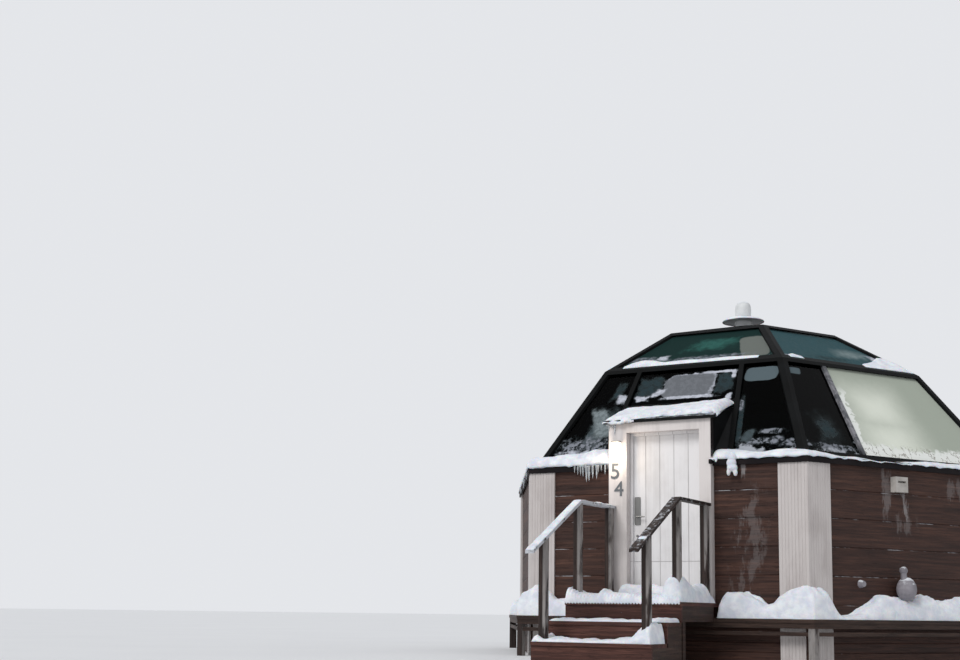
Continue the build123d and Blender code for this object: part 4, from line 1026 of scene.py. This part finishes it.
# %% Door plate and bracket
plate_half, plate_level = (0.044, 0.004, 0.185), 1.922
plate_middle = (leaf_low.x + 0.06, leaf_low.y - plate_half[1] + 0.001, plate_level)
piece("door_back_plate", [ball(plate_middle, plate_half, 12, 32, power=0.15)], handle_finish, body="door")
bracket = np.array([casing_high.x + 0.005, casing_low.y - 0.018, 2.515])
piece("casing_bracket", [ball(bracket, (0.022, 0.02, 0.03), 10, 20, power=0.3)], fascia_finish)
piece("bracket_frost", [ball(bracket + np.array([0.030, 0, 0.032]), (0.048, 0.018, 0.014), 8, 20),
                        ball(bracket + np.array([0.068, 0.01, 0.020]), (0.016, 0.018, 0.03), 8, 20)])

# %% [markdown]
# Below the lamp stand two plain digits, cut from 4 mm sheet and painted grey. Blender's own plain
# font draws them, and the text is made a mesh before it is placed.


# %% House number
def digit(text, x, z, height):
    """A digit as a mesh piece that stands 4 mm off the casing, its lower left corner at x and z."""
    curve = bpy.data.curves.new("digit_" + text, "FONT")
    curve.body, curve.size, curve.extrude, curve.bevel_depth = text, 1.0, 0.012, 0.004
    holder = linked("digit_holder_" + text, curve)
    mesh = bpy.data.meshes.new_from_object(holder)
    bpy.data.objects.remove(holder)
    co = vertices_of(mesh)
    co -= np.array([co[:, 0].min(), co[:, 1].min(), 0])
    scale = height / co[:, 1].max()
    placed = line(x + co[:, 0] * scale, casing_low.y - 0.006 - co[:, 2] * 0.12, z + co[:, 1] * scale)
    mesh.vertices.foreach_set("co", placed.ravel())
    mesh.materials.append(digit_finish)
    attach(linked("house_digit_" + text, mesh), "cabin")
    print("digit", text, "width", round(float(np.ptp(placed[:, 0])), 3))


digit("5", -0.676, 2.345, 0.205)
digit("4", -0.63, 2.115, 0.195)

# %% [markdown]
# Behind the milky pane a curtain hangs from the ring along the sloping glass, gathered at its left
# edge.

# %% Curtain
curtain_depth = 0.24
levels = np.linspace(plate_top + 0.06, ring_foot - 0.06, 30)
share = np.linspace(0, 1, 260)
reach = foot_reach - lower_lean * (levels - plate_top) - curtain_depth * np.hypot(1, lower_lean)
radius = (foot_reach - lower_lean * (levels - plate_top)) / cos(pi / 6)
left_end, right_end = -0.22 * radius + 0.02, 0.5 * radius - 0.30
x = left_end[:, None] + (right_end - left_end)[:, None] * share ** 1.15
wave = 0.026 * np.sin(2 * pi * 17 * share + 0.8 * np.sin(5 * share))
sway = 0.008 * np.sin(7 * share + 3 * (levels[:, None] - plate_top))
y = -reach[:, None] + wave * (0.8 + 0.2 * np.cos(9 * share)) + sway
cloth = turned(line(x, y, levels[:, None] + wave * lower_lean), 1)
mesh = bpy.data.meshes.new("curtain")
mesh.from_pydata(cloth.reshape(-1, 3).tolist(), [], quads(*cloth.shape[:2], closed=False))
mesh.shade_smooth()
mesh.materials.append(curtain_finish)
curtain = linked("curtain", mesh)
thickness = curtain.modifiers.new("cloth", "SOLIDIFY")
thickness.thickness, thickness.offset = 0.003, 0.0
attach(curtain, "cabin")

# %% [markdown]
# The studio is a pale floor without an end, an even white sky and one wide soft sun. The sky that
# the lens, the glass and the metal see is a little brighter than the sky that lights the cabin.

# %% Studio
ground_size = 400
ground = bpy.data.meshes.new("studio_floor")
ground.from_pydata([(-ground_size, -ground_size, 0), (ground_size, -ground_size, 0),
                    (ground_size, ground_size, 0), (-ground_size, ground_size, 0)], [], [(0, 1, 2, 3)])
floor_material, tree, surface = start("matt studio floor", Roughness=0.9)
feed(surface, {"Base Color": mix(noise(tree, (0.4, 0.4, 0.4), detail=2), "#DDDEE0", "#E4E5E6")})
ground.materials.append(floor_material)
studio_floor = linked("studio_floor", ground)

world = bpy.data.worlds.new("studio")
world.use_nodes = True
bpy.context.scene.world = world
kinds = add(world.node_tree, "ShaderNodeLightPath", "Is Camera Ray")
seen = kinds
for kind in ("Is Transmission Ray", "Is Glossy Ray"):
    seen = number("MAXIMUM", seen, Pattern(kinds.socket.node.outputs[kind]))
sky_light, sky_seen = 0.62, 0.86
feed(world.node_tree.nodes["Background"], {"Color": paint("#F4F6FA"),
                                           "Strength": seen * (sky_seen - sky_light) + sky_light})

sun_strength, sun_spread = 1.5, radians(25)
sun = linked("soft_sun", bpy.data.lights.new("soft_sun", "SUN"))
sun.data.energy, sun.data.angle = sun_strength, sun_spread
sun.rotation_euler = (radians(48), 0, radians(-12))

bpy.context.scene.view_settings.view_transform = "Standard"
